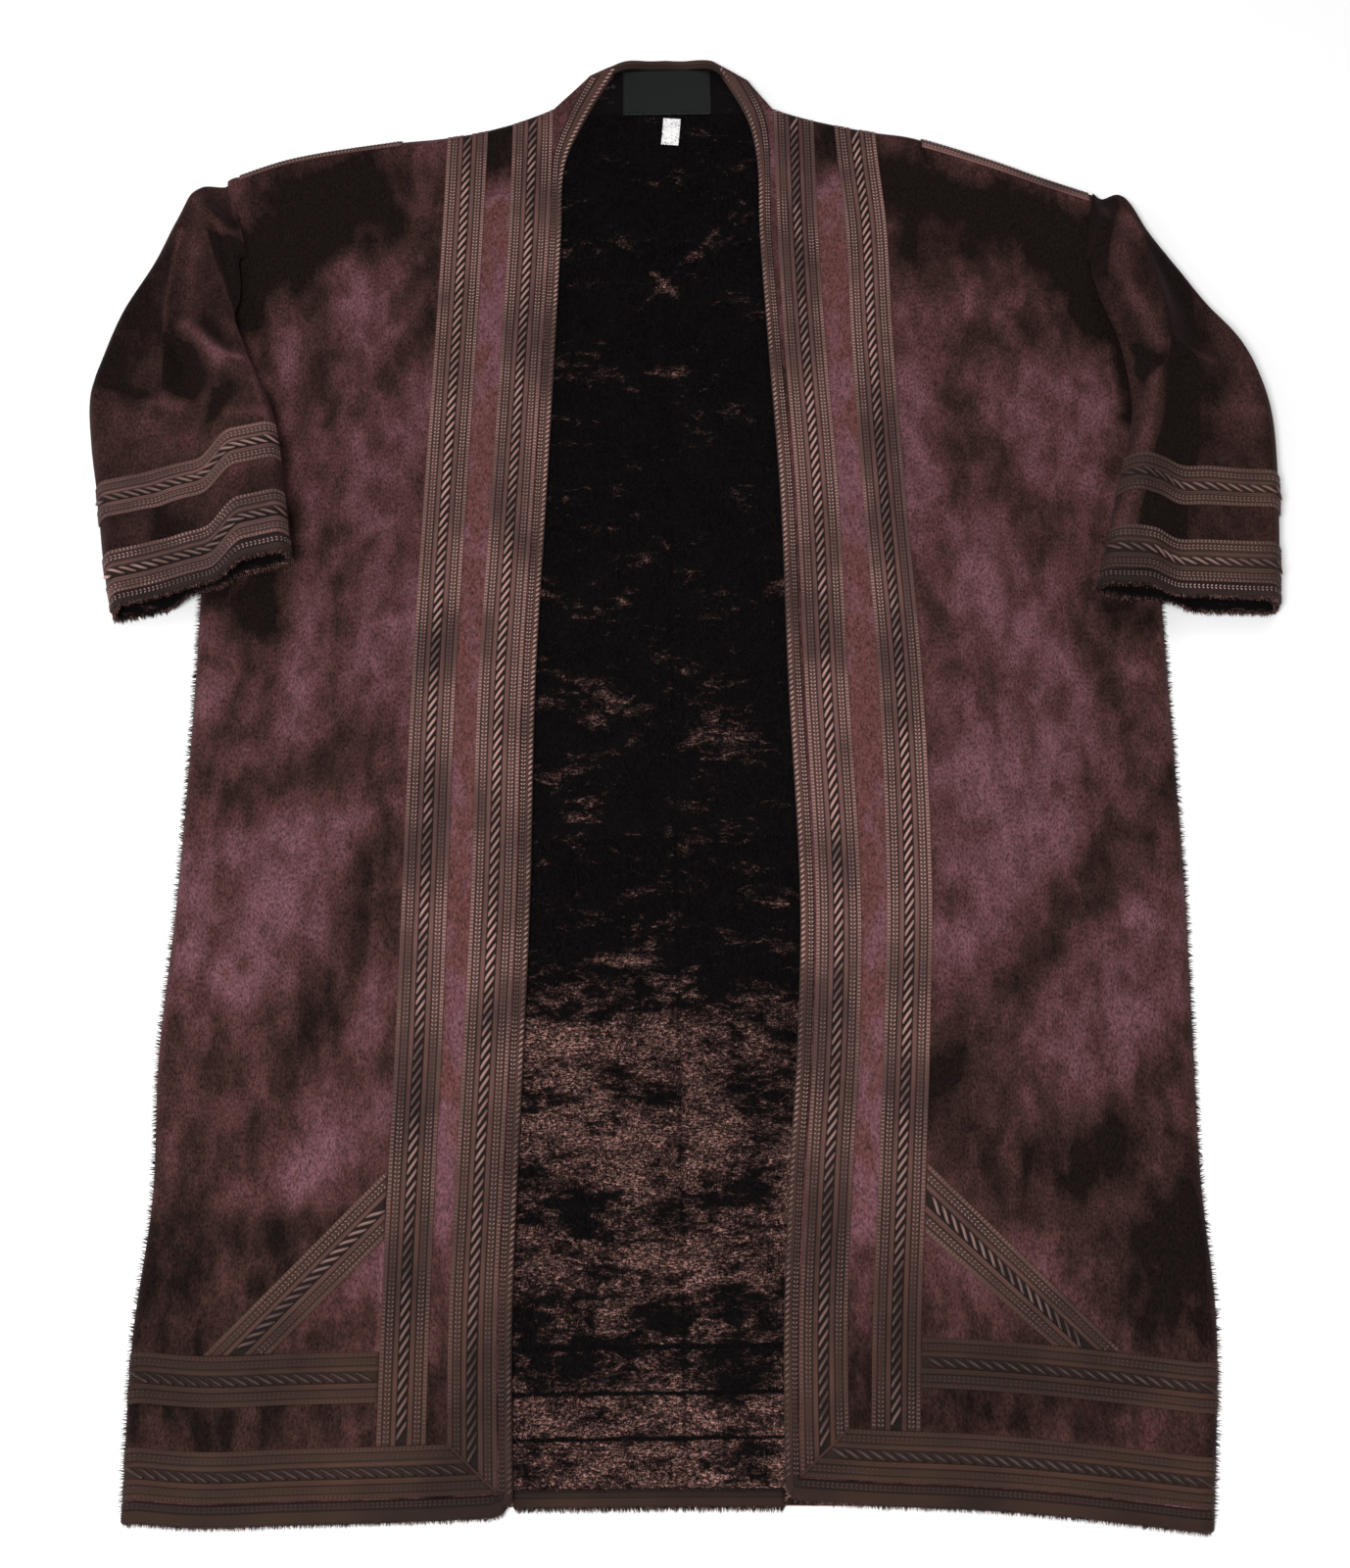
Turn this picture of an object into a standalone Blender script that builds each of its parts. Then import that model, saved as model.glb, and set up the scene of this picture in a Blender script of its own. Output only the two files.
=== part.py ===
"""A long open cloak of bonded suede and plush, trimmed with braid, laid flat on its back.

The tables below are in centimetres, as a maker would measure the cloth where it lies. "out" is
the distance from the centre line towards a side, "up" the distance from the back's hem towards
the neck, and heights are above the surface that the cloak lies on. The two fronts lie on the
back, their outer edges and shoulders roll down round the back's edge, and the sleeves are turned
down beside the body as flattened tubes.
"""

import math

import bmesh
import bpy
import numpy as np

for old in list(bpy.data.objects):
    bpy.data.objects.remove(old)

CM = 0.01

# The cloth and the small distances
CLOTH = 0.50           # suede, backing and pile together
SLEEVE_CLOTH = 0.45    # the same cloth, pressed a little where it is doubled
GAP = 0.03             # between pieces that are sewn or lie on each other
ROLL = 1.20            # how far the rolled side and shoulder reach in
INSET = 1.15           # the back's edge inside that roll

# The braid and the folded binding, sewn on flat
BRAID = 3.45
BINDING = 0.85
GROOVE = 0.10
BRAID_PROFILE = [(0.00, 0.09), (0.36, 0.12), (0.50, 0.24), (0.64, 0.12), (1.00, 0.09)]
BINDING_PROFILE = [(0.00, 0.10), (0.25, 0.15), (0.80, 0.14), (1.00, 0.09)]

# Rows of each front: above its hem, then up from the back's hem, then by share to the shoulder
HEM_ROWS = [0.0, 1.35, 1.45, 5.0, 8.1, 11.7]
PLAIN_ROWS = [18.0, 24.0, 30.0, 36.0, 42.0, 48.0, 54.0, 60.0, 66.0, 72.0, 78.0, 84.0]
SHOULDER_SHARES = [0.17, 0.34, 0.51, 0.68, 0.84, 1.0]
ROLL_ANGLES = [30.0, 60.0, 90.0]
WIDE_SHARES = [0.22, 0.44, 0.66, 0.84]

# Where a row or a column of the fronts has a name
HEM_BINDING_TOP, HEM_BRAID_LOW, HEM_BRAID_TOP, UPPER_LOW, UPPER_TOP = 1, 2, 3, 4, 5
LAST_BRAID_ROW = len(HEM_ROWS) + len(PLAIN_ROWS) + len(SHOULDER_SHARES)
EDGE, BINDING_OUT, BRAID_IN, BRAID_OUT, SECOND_IN, SECOND_OUT = range(6)
LAST_BRAID_COLUMN = SECOND_OUT + len(WIDE_SHARES) + 3
SHOULDER_BRAID_ROWS = {"left": [LAST_BRAID_ROW, LAST_BRAID_ROW + 1],
                       "right": [LAST_BRAID_ROW - 1, LAST_BRAID_ROW, LAST_BRAID_ROW + 1]}
SHOULDER_BRAID_RISE = 0.15
NECK_FROM, NECK_TOP = 110.0, 124.0   # where the opening's edge bends outwards round the neck
NECK_BAND = 1.0                      # how much wider the edge binding is at the neck
FLAT_OUT, ROLLED_OUT = 5.8, 9.0      # nearer in the neck's edge is flat, further out it rolls

# Each front's lines, read from hem to neck
FRONT_COLUMNS = ("up", "edge", "braid", "second", "side")
FRONTS = {
    "left": [
        (-2.0, 12.5, 13.4, 18.5, 39.5),
        (11.5, 12.7, 13.6, 18.4, 39.6),
        (22.0, 12.4, 13.3, 18.2, 38.8),
        (33.0, 12.0, 12.9, 17.9, 39.0),
        (45.0, 11.6, 12.5, 17.7, 38.4),
        (63.0, 11.3, 12.2, 17.4, 38.0),
        (80.0, 10.5, 11.4, 16.8, 38.0),
        (95.0, 9.8, 10.7, 16.2, 37.6),
        (106.0, 9.3, 10.2, 15.8, 37.3),
        (113.0, 9.0, 10.0, 15.6, 38.0),
        (118.0, 7.2, 9.9, 15.5, 38.0),
        (124.0, 4.1, 9.9, 15.5, 38.0),
    ],
    "right": [
        (-4.0, 6.6, 7.5, 12.2, 35.9),
        (11.0, 6.9, 7.8, 13.0, 37.6),
        (22.0, 7.6, 8.6, 13.9, 37.5),
        (33.0, 8.6, 9.6, 14.8, 37.9),
        (45.0, 9.2, 10.2, 15.6, 38.4),
        (63.0, 8.9, 10.0, 15.8, 38.7),
        (80.0, 8.8, 9.9, 15.3, 38.9),
        (95.0, 8.2, 9.4, 15.0, 38.4),
        (106.0, 7.8, 9.2, 15.0, 37.2),
        (113.0, 7.8, 9.2, 14.6, 36.9),
        (118.0, 7.0, 9.2, 14.4, 36.9),
        (124.0, 4.2, 9.1, 14.4, 36.9),
    ],
}

# The hem of each front, and the ridge of the neck and shoulder
HEM_COLUMNS = ("out", "up")
HEMS = {
    "left": [(12.5, -1.2), (20.0, -1.4), (28.0, -1.5), (34.0, -1.6), (39.5, -1.1)],
    "right": [(6.6, -0.3), (13.0, -0.8), (20.0, -1.2), (27.0, -1.9), (36.0, -3.1)],
}
RIDGES = {
    "left": [(0.0, 124.5), (3.0, 124.3), (4.7, 123.5), (7.7, 121.2), (10.7, 119.1), (15.3, 117.4),
             (19.6, 116.4), (23.4, 115.9), (32.1, 114.3), (38.0, 112.1)],
    "right": [(0.0, 124.5), (3.9, 124.0), (5.7, 122.2), (8.0, 120.0), (10.6, 118.6), (14.3, 117.5),
              (17.9, 116.5), (21.0, 115.8), (27.6, 113.2), (31.7, 111.3), (36.9, 109.1)],
}

# Broad folds of the fronts: a ridge or a trough along a line, as wide as its half width says
FOLD_COLUMNS = ("from_out", "from_up", "to_out", "to_up", "half_width", "height")
FOLDS = {
    "left": [
        (26.5, 98.0, 26.0, 56.0, 2.6, 0.50),
        (30.8, 101.0, 30.6, 58.0, 1.8, -0.40),
        (35.0, 92.0, 34.5, 50.0, 2.4, 0.45),
        (36.0, 107.0, 24.0, 109.0, 3.0, -0.30),
        (22.5, 106.0, 27.0, 93.0, 2.0, -0.30),
        (33.0, 48.0, 27.0, 28.0, 3.0, 0.40),
        (24.5, 52.0, 25.0, 28.0, 2.2, -0.25),
    ],
    "right": [
        (21.0, 109.0, 34.0, 101.0, 2.6, -0.35),
        (22.0, 103.0, 33.0, 88.0, 3.2, 0.50),
        (29.0, 86.0, 33.0, 62.0, 2.2, -0.30),
        (24.0, 84.0, 28.0, 60.0, 2.6, 0.35),
        (36.0, 60.0, 23.0, 46.0, 2.4, 0.55),
        (36.0, 54.0, 21.5, 39.0, 2.2, -0.40),
        (36.0, 46.0, 21.5, 31.0, 2.4, 0.50),
    ],
}
FOLD_END = 4.0         # how softly a fold begins and ends
LOW_TOP = 1.15         # the front's top where it lies close, at the hem and the opening
LEAST_TOP = 1.10
CLOSE_UP, LOOSE_UP = 14.0, 34.0      # below the first a front lies close, above the second loose
LOOSE_RISE = 0.40      # how much higher the wide part of a front lies
RISE_REACH = 4.0       # how far that rise is spread, either side of the second braid's edge
FOLDS_FROM, FOLDS_FULL = -3.0, 2.0   # where folds begin and are full, beside that edge

# Sleeves from shoulder to cuff: the two folded edges, the height of the upper cloth near the
# inner fold, in the middle and near the outer fold, and how soon the lower cloth comes down
# beside the body at each end
SLEEVE_COLUMNS = ("in_out", "in_up", "fold_out", "fold_up", "inner", "middle", "outer",
                  "inner_fall", "outer_fall")
SLEEVES = {
    "left": [
        (37.6, 105.4, 38.1, 111.2, 2.7, 2.2, 1.5, 1.50, 0.10),
        (37.3, 102.6, 40.3, 107.3, 2.9, 2.6, 2.1, 1.60, 0.50),
        (36.9, 99.6, 42.9, 102.6, 3.2, 2.9, 2.4, 1.60, 1.60),
        (36.1, 96.5, 45.6, 97.6, 3.6, 2.9, 2.6, 2.80, 2.80),
        (35.1, 93.4, 47.3, 93.4, 3.9, 2.8, 2.8, 2.80, 2.80),
        (34.0, 90.4, 48.0, 90.0, 4.3, 2.9, 2.9, 2.80, 2.80),
        (32.9, 87.4, 47.6, 85.8, 4.5, 3.1, 3.0, 2.80, 2.80),
        (32.1, 84.4, 46.8, 81.2, 4.7, 3.4, 3.0, 2.80, 2.80),
        (31.5, 81.0, 46.3, 77.8, 4.8, 3.6, 3.1, 2.80, 2.80),
        (31.1, 78.0, 45.8, 74.6, 4.9, 3.6, 3.2, 2.80, 2.80),
        (30.6, 74.2, 45.0, 70.8, 4.9, 3.7, 3.2, 2.80, 2.80),
    ],
    "right": [
        (37.3, 105.4, 37.2, 108.6, 2.7, 2.2, 1.5, 1.20, 0.05),
        (36.3, 103.0, 39.7, 104.8, 2.9, 2.6, 2.2, 1.40, 0.60),
        (35.9, 100.0, 42.4, 101.0, 3.5, 3.0, 2.4, 1.60, 1.60),
        (35.8, 97.0, 45.2, 97.2, 3.8, 3.4, 2.6, 2.80, 2.80),
        (36.8, 93.6, 47.6, 93.3, 3.8, 3.8, 2.8, 2.80, 2.80),
        (37.3, 90.0, 48.8, 89.8, 3.8, 4.1, 2.9, 2.80, 2.80),
        (37.4, 85.6, 49.3, 86.0, 4.0, 3.9, 3.0, 2.80, 2.80),
        (36.2, 80.9, 49.1, 80.4, 4.4, 3.6, 3.1, 2.80, 2.80),
        (35.3, 77.4, 48.8, 76.9, 4.5, 3.4, 3.2, 2.80, 2.80),
        (34.5, 74.3, 48.5, 73.7, 4.6, 3.3, 3.2, 2.80, 2.80),
        (33.5, 70.6, 48.1, 69.9, 4.6, 3.3, 3.2, 2.80, 2.80),
    ],
}
SLEEVE_SHARES = [0.0, 0.03, 0.09, 0.18, 0.30, 0.42, 0.55, 0.68, 0.80, 0.90, 0.97, 1.0]
SLEEVE_BRAID_ROWS = (7, 8)
CUFF_BRAID_ROWS = (9, 10)
FOLD_REACH = 1.3       # how far a sleeve's folded edge is rounded
FOLD_HALF = 0.55       # half the doubled cloth at that edge
HEIGHT_SHARES = [0.0, 0.25, 0.52, 0.8, 1.0]    # where the upper cloth's heights are given
OVER_BODY = 0.06       # the sleeve's lower cloth above the front
BESIDE_BODY = 0.05     # and beside it, before it comes down

# Corner braids, from the second braid down to the upper hem braid: where their two edges start
# and where they end
CORNER_COLUMNS = ("top_up", "low_up", "top_end", "low_end")
CORNERS = {"left": (23.5, 18.4, 34.3, 29.6), "right": (23.5, 18.3, 30.6, 25.7)}
CORNER_STEPS = 6
CORNER_LIFT = 0.06

# The back, as it shows between the fronts, with its label places
BACK_COLUMNS = [-1.0, -0.8, -0.6, -0.42, -0.28, 0.28, 0.42, 0.6, 0.8, 1.0]
BACK_SHARES = [0.0, 0.13, 0.32, 0.5, 0.68, 0.84, 1.0]
NECK_OUTS = [-7.4, -6.4, -5.4, -4.3, -2.6, 0.0, 2.4, 4.2, 5.2, 6.4, 7.6]
BACK_HEM = (-0.35, -0.55, -1.3)      # at the left side, the middle and the right side
WIDEST_UP = 50.0                     # where the back's width is taken for its hem
BACK_HEM_BAND = 1.1                  # the binding that shows at the back's hem
NECK_EDGE_BAND = 0.9                 # the band along the back of the neck
NECK_EDGE_OUTS = [-3.7, -2.4, -0.8, 0.8, 2.4, 3.8]
FRONT_CLEAR = 0.1                    # between the back's hem binding and the fronts' edges
HEM_STEPS = 6
BACK_PASSES = 3                      # how often a point is set again on the line of its column
NECK_START = 6.4                     # nearer the centre the back reaches the neck's edge
LABEL = (0.0, 120.4, 7.7, 4.6, 0.06)          # centre out, centre up, width, height, thickness
CARE_LABEL = (0.2, 116.4, 1.5, 3.0, 0.05)
CARE_TURN = math.radians(-8.0)


def between(places, values, at):
    """A smooth curve through a short table, read at one place and held beyond its ends."""
    last = len(places) - 1
    at = min(max(at, places[0]), places[last])
    low = max(k for k in range(last) if places[k] <= at)
    span = places[low + 1] - places[low]
    share = (at - places[low]) / span

    def slope(k):
        before, after = max(k - 1, 0), min(k + 1, last)
        return (values[after] - values[before]) / (places[after] - places[before])

    bend = share * share * (3.0 - 2.0 * share)
    start = share * (1.0 - share) ** 2 * span * slope(low)
    end = share * share * (share - 1.0) * span * slope(low + 1)
    return values[low] * (1.0 - bend) + values[low + 1] * bend + start + end


def read(table, names, name, at):
    """One named column of a table, at a place in its first column."""
    column = names.index(name)
    return between([row[0] for row in table], [row[column] for row in table], at)


def ease(low, high, value):
    """A soft step from 0 at low to 1 at high."""
    share = min(max((value - low) / (high - low), 0.0), 1.0)
    return share * share * (3.0 - 2.0 * share)


def ridge_up(side, out):
    return read(RIDGES[side], HEM_COLUMNS, "up", out)


def hem_up(side, out):
    return read(HEMS[side], HEM_COLUMNS, "up", out)


def line_out(side, name, up):
    return read(FRONTS[side], FRONT_COLUMNS, name, up)


def front_columns(side, up):
    """How far out each column of a front lies at one height, up to where its side rolls down."""
    edge, braid = line_out(side, "edge", up), line_out(side, "braid", up)
    second = line_out(side, "second", up)
    band = BINDING + NECK_BAND * ease(NECK_FROM, NECK_TOP, up)
    binding = min(edge + band, braid - GROOVE)
    flat_end = line_out(side, "side", up) - ROLL
    second_out = second + BRAID
    wide = [second_out + share * (flat_end - second_out) for share in WIDE_SHARES]
    return [edge, binding, braid, braid + BRAID, second, second_out] + wide + [flat_end]


def fold_height(side, out, up):
    """The sum of a front's broad folds at one place."""
    total = 0.0
    for row in FOLDS[side]:
        fold = dict(zip(FOLD_COLUMNS, row))
        run_out, run_up = fold["to_out"] - fold["from_out"], fold["to_up"] - fold["from_up"]
        far_out, far_up = out - fold["from_out"], up - fold["from_up"]
        length = math.hypot(run_out, run_up)
        along = (far_out * run_out + far_up * run_up) / length
        across = (far_out * run_up - far_up * run_out) / length
        ends = ease(-FOLD_END, FOLD_END, along) * ease(-FOLD_END, FOLD_END, length - along)
        total += fold["height"] * ends * math.exp(-(across / fold["half_width"]) ** 2)
    return total


def front_top(side, out, up):
    """The height of a front's outer face."""
    loose = ease(CLOSE_UP, LOOSE_UP, up)
    past_braid = out - line_out(side, "second", up) - BRAID
    rise = LOOSE_RISE * ease(-RISE_REACH, RISE_REACH, past_braid)
    away = ease(FOLDS_FROM, FOLDS_FULL, past_braid)
    return max(LOW_TOP + loose * (rise + away * fold_height(side, out, up)), LEAST_TOP)


def front_rows(side):
    """Each row of a front as a function from a column's top and its place to a height up."""
    rows = [lambda top, out, above=above: hem_up(side, out) + above for above in HEM_ROWS]
    rows += [lambda top, out, up=up: up for up in PLAIN_ROWS]
    start = PLAIN_ROWS[-1]
    rows += [lambda top, out, share=share: start + share * (top - ROLL - start)
             for share in SHOULDER_SHARES]
    return rows


def front_grid(side):
    """Outer and inner points of a front, row by row from the hem, columns from its opening."""
    neck_columns = front_columns(side, NECK_TOP)
    tops = [ridge_up(side, out) for out in neck_columns]
    rolls = [ease(FLAT_OUT, ROLLED_OUT, out) for out in neck_columns]
    outer, inner = [], []
    for rise in front_rows(side):
        outer_row, inner_row = [], []
        for column, top in enumerate(tops):
            up = rise(top, neck_columns[column])
            out = front_columns(side, up)[column]
            up = rise(top, out)
            out = front_columns(side, up)[column]
            high = front_top(side, out, up)
            outer_row.append((out, up, high))
            inner_row.append((out, up, high - CLOTH))
        outer.append(outer_row)
        inner.append(inner_row)
    for angle in ROLL_ANGLES:
        turn, drop = math.sin(math.radians(angle)), 1.0 - math.cos(math.radians(angle))
        outer_row, inner_row = [], []
        for column, top in enumerate(tops):
            rolled = rolls[column]
            up = top - ROLL + ROLL * turn
            inner_up = top - ROLL + (ROLL - CLOTH * rolled) * turn
            high = front_top(side, front_columns(side, top - ROLL)[column], top - ROLL)
            out = front_columns(side, up)[column]
            outer_row.append((out, up, high * (1.0 - drop * rolled)))
            inner_row.append((out, inner_up, (high - CLOTH) * (1.0 - drop * rolled)))
        outer.append(outer_row)
        inner.append(inner_row)
    for outer_row, inner_row in zip(outer, inner):
        out, up, high = outer_row[-1]
        _, inner_up, inner_high = inner_row[-1]
        for angle in ROLL_ANGLES:
            turn, down = math.sin(math.radians(angle)), math.cos(math.radians(angle))
            outer_row.append((out + ROLL * turn, up, high * down))
            inner_row.append((out + (ROLL - CLOTH) * turn, inner_up, inner_high * down))
    return outer, inner


def body_top(side, out, up, fall):
    """What a sleeve's lower cloth lies on: the front, then down to the floor beside it."""
    edge = line_out(side, "side", up)
    on_front = front_top(side, min(out, edge - ROLL), up) + OVER_BODY
    return on_front * (1.0 - ease(0.0, fall, out - edge - BESIDE_BODY))


def sleeve_ring(side, row, inside):
    """One ring of a sleeve: out along its upper cloth, back along its lower cloth."""
    ring = dict(zip(SLEEVE_COLUMNS, row))
    run_out, run_up = ring["fold_out"] - ring["in_out"], ring["fold_up"] - ring["in_up"]
    heights = [ring["inner"], ring["inner"], ring["middle"], ring["outer"], ring["outer"]]
    width = math.hypot(run_out, run_up)
    reach = min(FOLD_REACH / width, 0.45)
    shift = SLEEVE_CLOTH / width if inside else 0.0
    cloth = SLEEVE_CLOTH if inside else 0.0

    def points(share):
        along = shift + share * (1.0 - 2.0 * shift)
        out = ring["in_out"] + along * run_out
        up = ring["in_up"] + along * run_up
        fall = ring["inner_fall"] + along * (ring["outer_fall"] - ring["inner_fall"])
        low = body_top(side, out, up, fall)
        high = between(HEIGHT_SHARES, heights, share)
        centre = low + FOLD_HALF
        near = min(min(share, 1.0 - share) / reach, 1.0)
        full = math.sqrt(1.0 - (1.0 - near) ** 2)
        top = centre + full * (high - cloth - centre)
        bottom = centre - full * (FOLD_HALF - cloth)
        return (out, up, top), (out, up, bottom)

    upper = [points(share)[0] for share in SLEEVE_SHARES]
    lower = [points(share)[1] for share in SLEEVE_SHARES[1:-1]]
    return upper + lower[::-1]


def world(side, point):
    """A table's place in the part's own axes, in metres."""
    out, up, high = point
    return (-out * CM if side == "left" else out * CM, up * CM, high * CM)


def cell_triangles(rows, columns, closed):
    """Triangles over a grid of points, the same diagonal in every cell."""
    triangles = []
    for row in range(rows - 1):
        for column in range(columns if closed else columns - 1):
            after = (column + 1) % columns
            a, b = row * columns + column, row * columns + after
            c, d = (row + 1) * columns + after, (row + 1) * columns + column
            triangles += [(a, b, c), (a, c, d)]
    return triangles


def material(name, colour, roughness):
    finish = bpy.data.materials.new(name)
    finish.use_nodes = True
    shader = finish.node_tree.nodes["Principled BSDF"]
    shader.inputs["Base Color"].default_value = (*colour, 1.0)
    shader.inputs["Roughness"].default_value = roughness
    shader.inputs["Metallic"].default_value = 0.0
    finish.diffuse_color = (*colour, 1.0)
    return finish


def add_object(name, points, faces, finish):
    """A closed mesh object from points in metres, its faces split into triangles."""
    mesh = bpy.data.meshes.new(name)
    mesh.from_pydata(points, [], faces)
    work = bmesh.new()
    work.from_mesh(mesh)
    bmesh.ops.triangulate(work, faces=[f for f in work.faces if len(f.verts) > 3],
                          ngon_method='EAR_CLIP')
    bmesh.ops.recalc_face_normals(work, faces=work.faces)
    work.to_mesh(mesh)
    work.free()
    mesh.shade_smooth()
    mesh.set_sharp_from_angle(angle=math.radians(40.0))
    piece = bpy.data.objects.new(name, mesh)
    piece.data.materials.append(finish)
    bpy.context.collection.objects.link(piece)
    return piece


def add_wall(name, side, outer, inner, closed, finish):
    """A closed wall between two like grids of points, with its rims filled."""
    rows, columns = len(outer), len(outer[0])
    points = [world(side, p) for row in outer for p in row]
    points += [world(side, p) for row in inner for p in row]
    skin = cell_triangles(rows, columns, closed)
    count = rows * columns
    faces = skin + [(c + count, b + count, a + count) for a, b, c in skin]
    edges = {(tri[k], tri[(k + 1) % 3]) for tri in skin for k in range(3)}
    for a, b in sorted(edges):
        if (b, a) not in edges:
            faces += [(b, a, a + count), (b, a + count, b + count)]
    return add_object(name, points, faces, finish)


def add_strip(name, side, sections, finish):
    """A long solid through like sections, each a list of points round it, with closed ends."""
    size = len(sections[0])
    points = [world(side, p) for section in sections for p in section]
    faces = []
    for step in range(len(sections) - 1):
        for k in range(size):
            a, b = step * size + k, step * size + (k + 1) % size
            faces += [(a, b, b + size), (a, b + size, a + size)]
    last = (len(sections) - 1) * size
    faces += [tuple(range(size))[::-1], tuple(last + k for k in range(size))]
    return add_object(name, points, faces, finish)


def grid_normals(grid):
    """The outward direction at each point of a grid of outer points."""
    points = np.array(grid)
    across, along = np.zeros_like(points), np.zeros_like(points)
    across[:, 1:-1] = points[:, 2:] - points[:, :-2]
    across[:, 0], across[:, -1] = points[:, 1] - points[:, 0], points[:, -1] - points[:, -2]
    along[1:-1] = points[2:] - points[:-2]
    along[0], along[-1] = points[1] - points[0], points[-1] - points[-2]
    normals = np.cross(across, along)
    return points, normals / np.linalg.norm(normals, axis=2, keepdims=True)


def strip_section(start, start_normal, end, end_normal, profile, lift=GAP):
    """A section over the line from start to end: its underside, then its raised face."""
    under = [tuple(start + lift * start_normal), tuple(end + lift * end_normal)]
    face = []
    for share, height in reversed(profile):
        place = start + share * (end - start)
        normal = start_normal + share * (end_normal - start_normal)
        face.append(tuple(place + (lift + height) * normal / np.linalg.norm(normal)))
    return under + face


def bent_section(places, normals, rise):
    """A section that follows the cloth round its roll: its underside, then its face."""
    pairs = list(zip(places, normals))
    under = [tuple(place + GAP * normal) for place, normal in pairs]
    face = [tuple(place + (GAP + rise) * normal) for place, normal in reversed(pairs)]
    return under + face


def build_fronts(suede, braid, binding):
    for side in ("left", "right"):
        outer, inner = front_grid(side)
        add_wall("front_" + side, side, outer, inner, False, suede)
        points, normals = grid_normals(outer)

        def section(start, end, profile, shift=(0.0, 0.0, 0.0)):
            """A section between two grid points given as row and column, moved a little."""
            move = np.array(shift)
            return strip_section(points[start] + move, normals[start],
                                 points[end] + move, normals[end], profile)

        up_rows = range(UPPER_LOW, LAST_BRAID_ROW + 1)
        up_a_little, out_a_little = (0.0, GAP, 0.0), (GAP, 0.0, 0.0)

        mitre = [section((0, EDGE), (HEM_BINDING_TOP, BINDING_OUT), BINDING_PROFILE, up_a_little)]
        runs = [section((row, EDGE), (row, BINDING_OUT), BINDING_PROFILE) for row in up_rows]
        add_strip("edge_binding_" + side, side, mitre + runs, binding)

        mitre = [section((HEM_BRAID_LOW, BRAID_IN), (HEM_BRAID_TOP, BRAID_OUT), BRAID_PROFILE,
                         up_a_little)]
        runs = [section((row, BRAID_IN), (row, BRAID_OUT), BRAID_PROFILE) for row in up_rows]
        add_strip("edge_braid_" + side, side, mitre + runs, braid)

        start = [section((HEM_BRAID_TOP, SECOND_IN), (HEM_BRAID_TOP, SECOND_OUT), BRAID_PROFILE,
                         up_a_little)]
        runs = [section((row, SECOND_IN), (row, SECOND_OUT), BRAID_PROFILE) for row in up_rows]
        add_strip("second_braid_" + side, side, start + runs, braid)

        out_columns = range(SECOND_IN, LAST_BRAID_COLUMN)
        mitre = [section((0, EDGE), (HEM_BINDING_TOP, BINDING_OUT), BINDING_PROFILE,
                         out_a_little)]
        runs = [section((0, column), (HEM_BINDING_TOP, column), BINDING_PROFILE)
                for column in out_columns]
        add_strip("hem_binding_" + side, side, mitre + runs, binding)

        mitre = [section((HEM_BRAID_LOW, BRAID_IN), (HEM_BRAID_TOP, BRAID_OUT), BRAID_PROFILE,
                         out_a_little)]
        runs = [section((HEM_BRAID_LOW, column), (HEM_BRAID_TOP, column), BRAID_PROFILE)
                for column in out_columns]
        add_strip("hem_braid_" + side, side, mitre + runs, braid)

        start = [section((UPPER_LOW, SECOND_OUT), (UPPER_TOP, SECOND_OUT), BRAID_PROFILE,
                         out_a_little)]
        runs = [section((UPPER_LOW, column), (UPPER_TOP, column), BRAID_PROFILE)
                for column in range(SECOND_OUT + 1, LAST_BRAID_COLUMN)]
        add_strip("upper_hem_braid_" + side, side, start + runs, braid)

        rows = SHOULDER_BRAID_ROWS[side]
        runs = [bent_section([points[row, column] for row in rows],
                             [normals[row, column] for row in rows], SHOULDER_BRAID_RISE)
                for column in range(SECOND_OUT + 1, LAST_BRAID_COLUMN - 1)]
        add_strip("shoulder_braid_" + side, side, runs, braid)

        build_corner_braid(side, braid)


def build_corner_braid(side, braid):
    """The slanting braid between the second braid and the upper hem braid."""
    corner = dict(zip(CORNER_COLUMNS, CORNERS[side]))
    clear = 2.0 * GAP

    def start(up):
        return np.array([line_out(side, "second", up) + BRAID + clear, up])

    def end(out):
        return np.array([out, hem_up(side, out) + HEM_ROWS[UPPER_TOP] + clear])

    sections = []
    for step in range(CORNER_STEPS + 1):
        share = step / CORNER_STEPS
        high = start(corner["top_up"]) * (1.0 - share) + end(corner["top_end"]) * share
        low = start(corner["low_up"]) * (1.0 - share) + end(corner["low_end"]) * share
        ends = [np.array([*place, front_top(side, *place)]) for place in (low, high)]
        straight_up = np.array([0.0, 0.0, 1.0])
        sections.append(strip_section(ends[0], straight_up, ends[1], straight_up,
                                      BRAID_PROFILE, CORNER_LIFT))
    add_strip("corner_braid_" + side, side, sections, braid)


def build_sleeves(suede, braid):
    for side in ("left", "right"):
        outer = [sleeve_ring(side, row, False) for row in SLEEVES[side]]
        inner = [sleeve_ring(side, row, True) for row in SLEEVES[side]]
        outer, inner = outer[::-1], inner[::-1]
        add_wall("sleeve_" + side, side, outer, inner, True, suede)
        upper = [ring[:len(SLEEVE_SHARES)] for ring in outer]
        points, normals = grid_normals(upper)
        last = len(SLEEVES[side]) - 1
        for name, rows in (("sleeve_braid_", SLEEVE_BRAID_ROWS), ("cuff_braid_", CUFF_BRAID_ROWS)):
            high, low = last - rows[0], last - rows[1]
            runs = [strip_section(points[low, k], normals[low, k], points[high, k],
                                  normals[high, k], BRAID_PROFILE)
                    for k in range(1, len(SLEEVE_SHARES) - 1)]
            add_strip(name + side, side, runs, braid)


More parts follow.
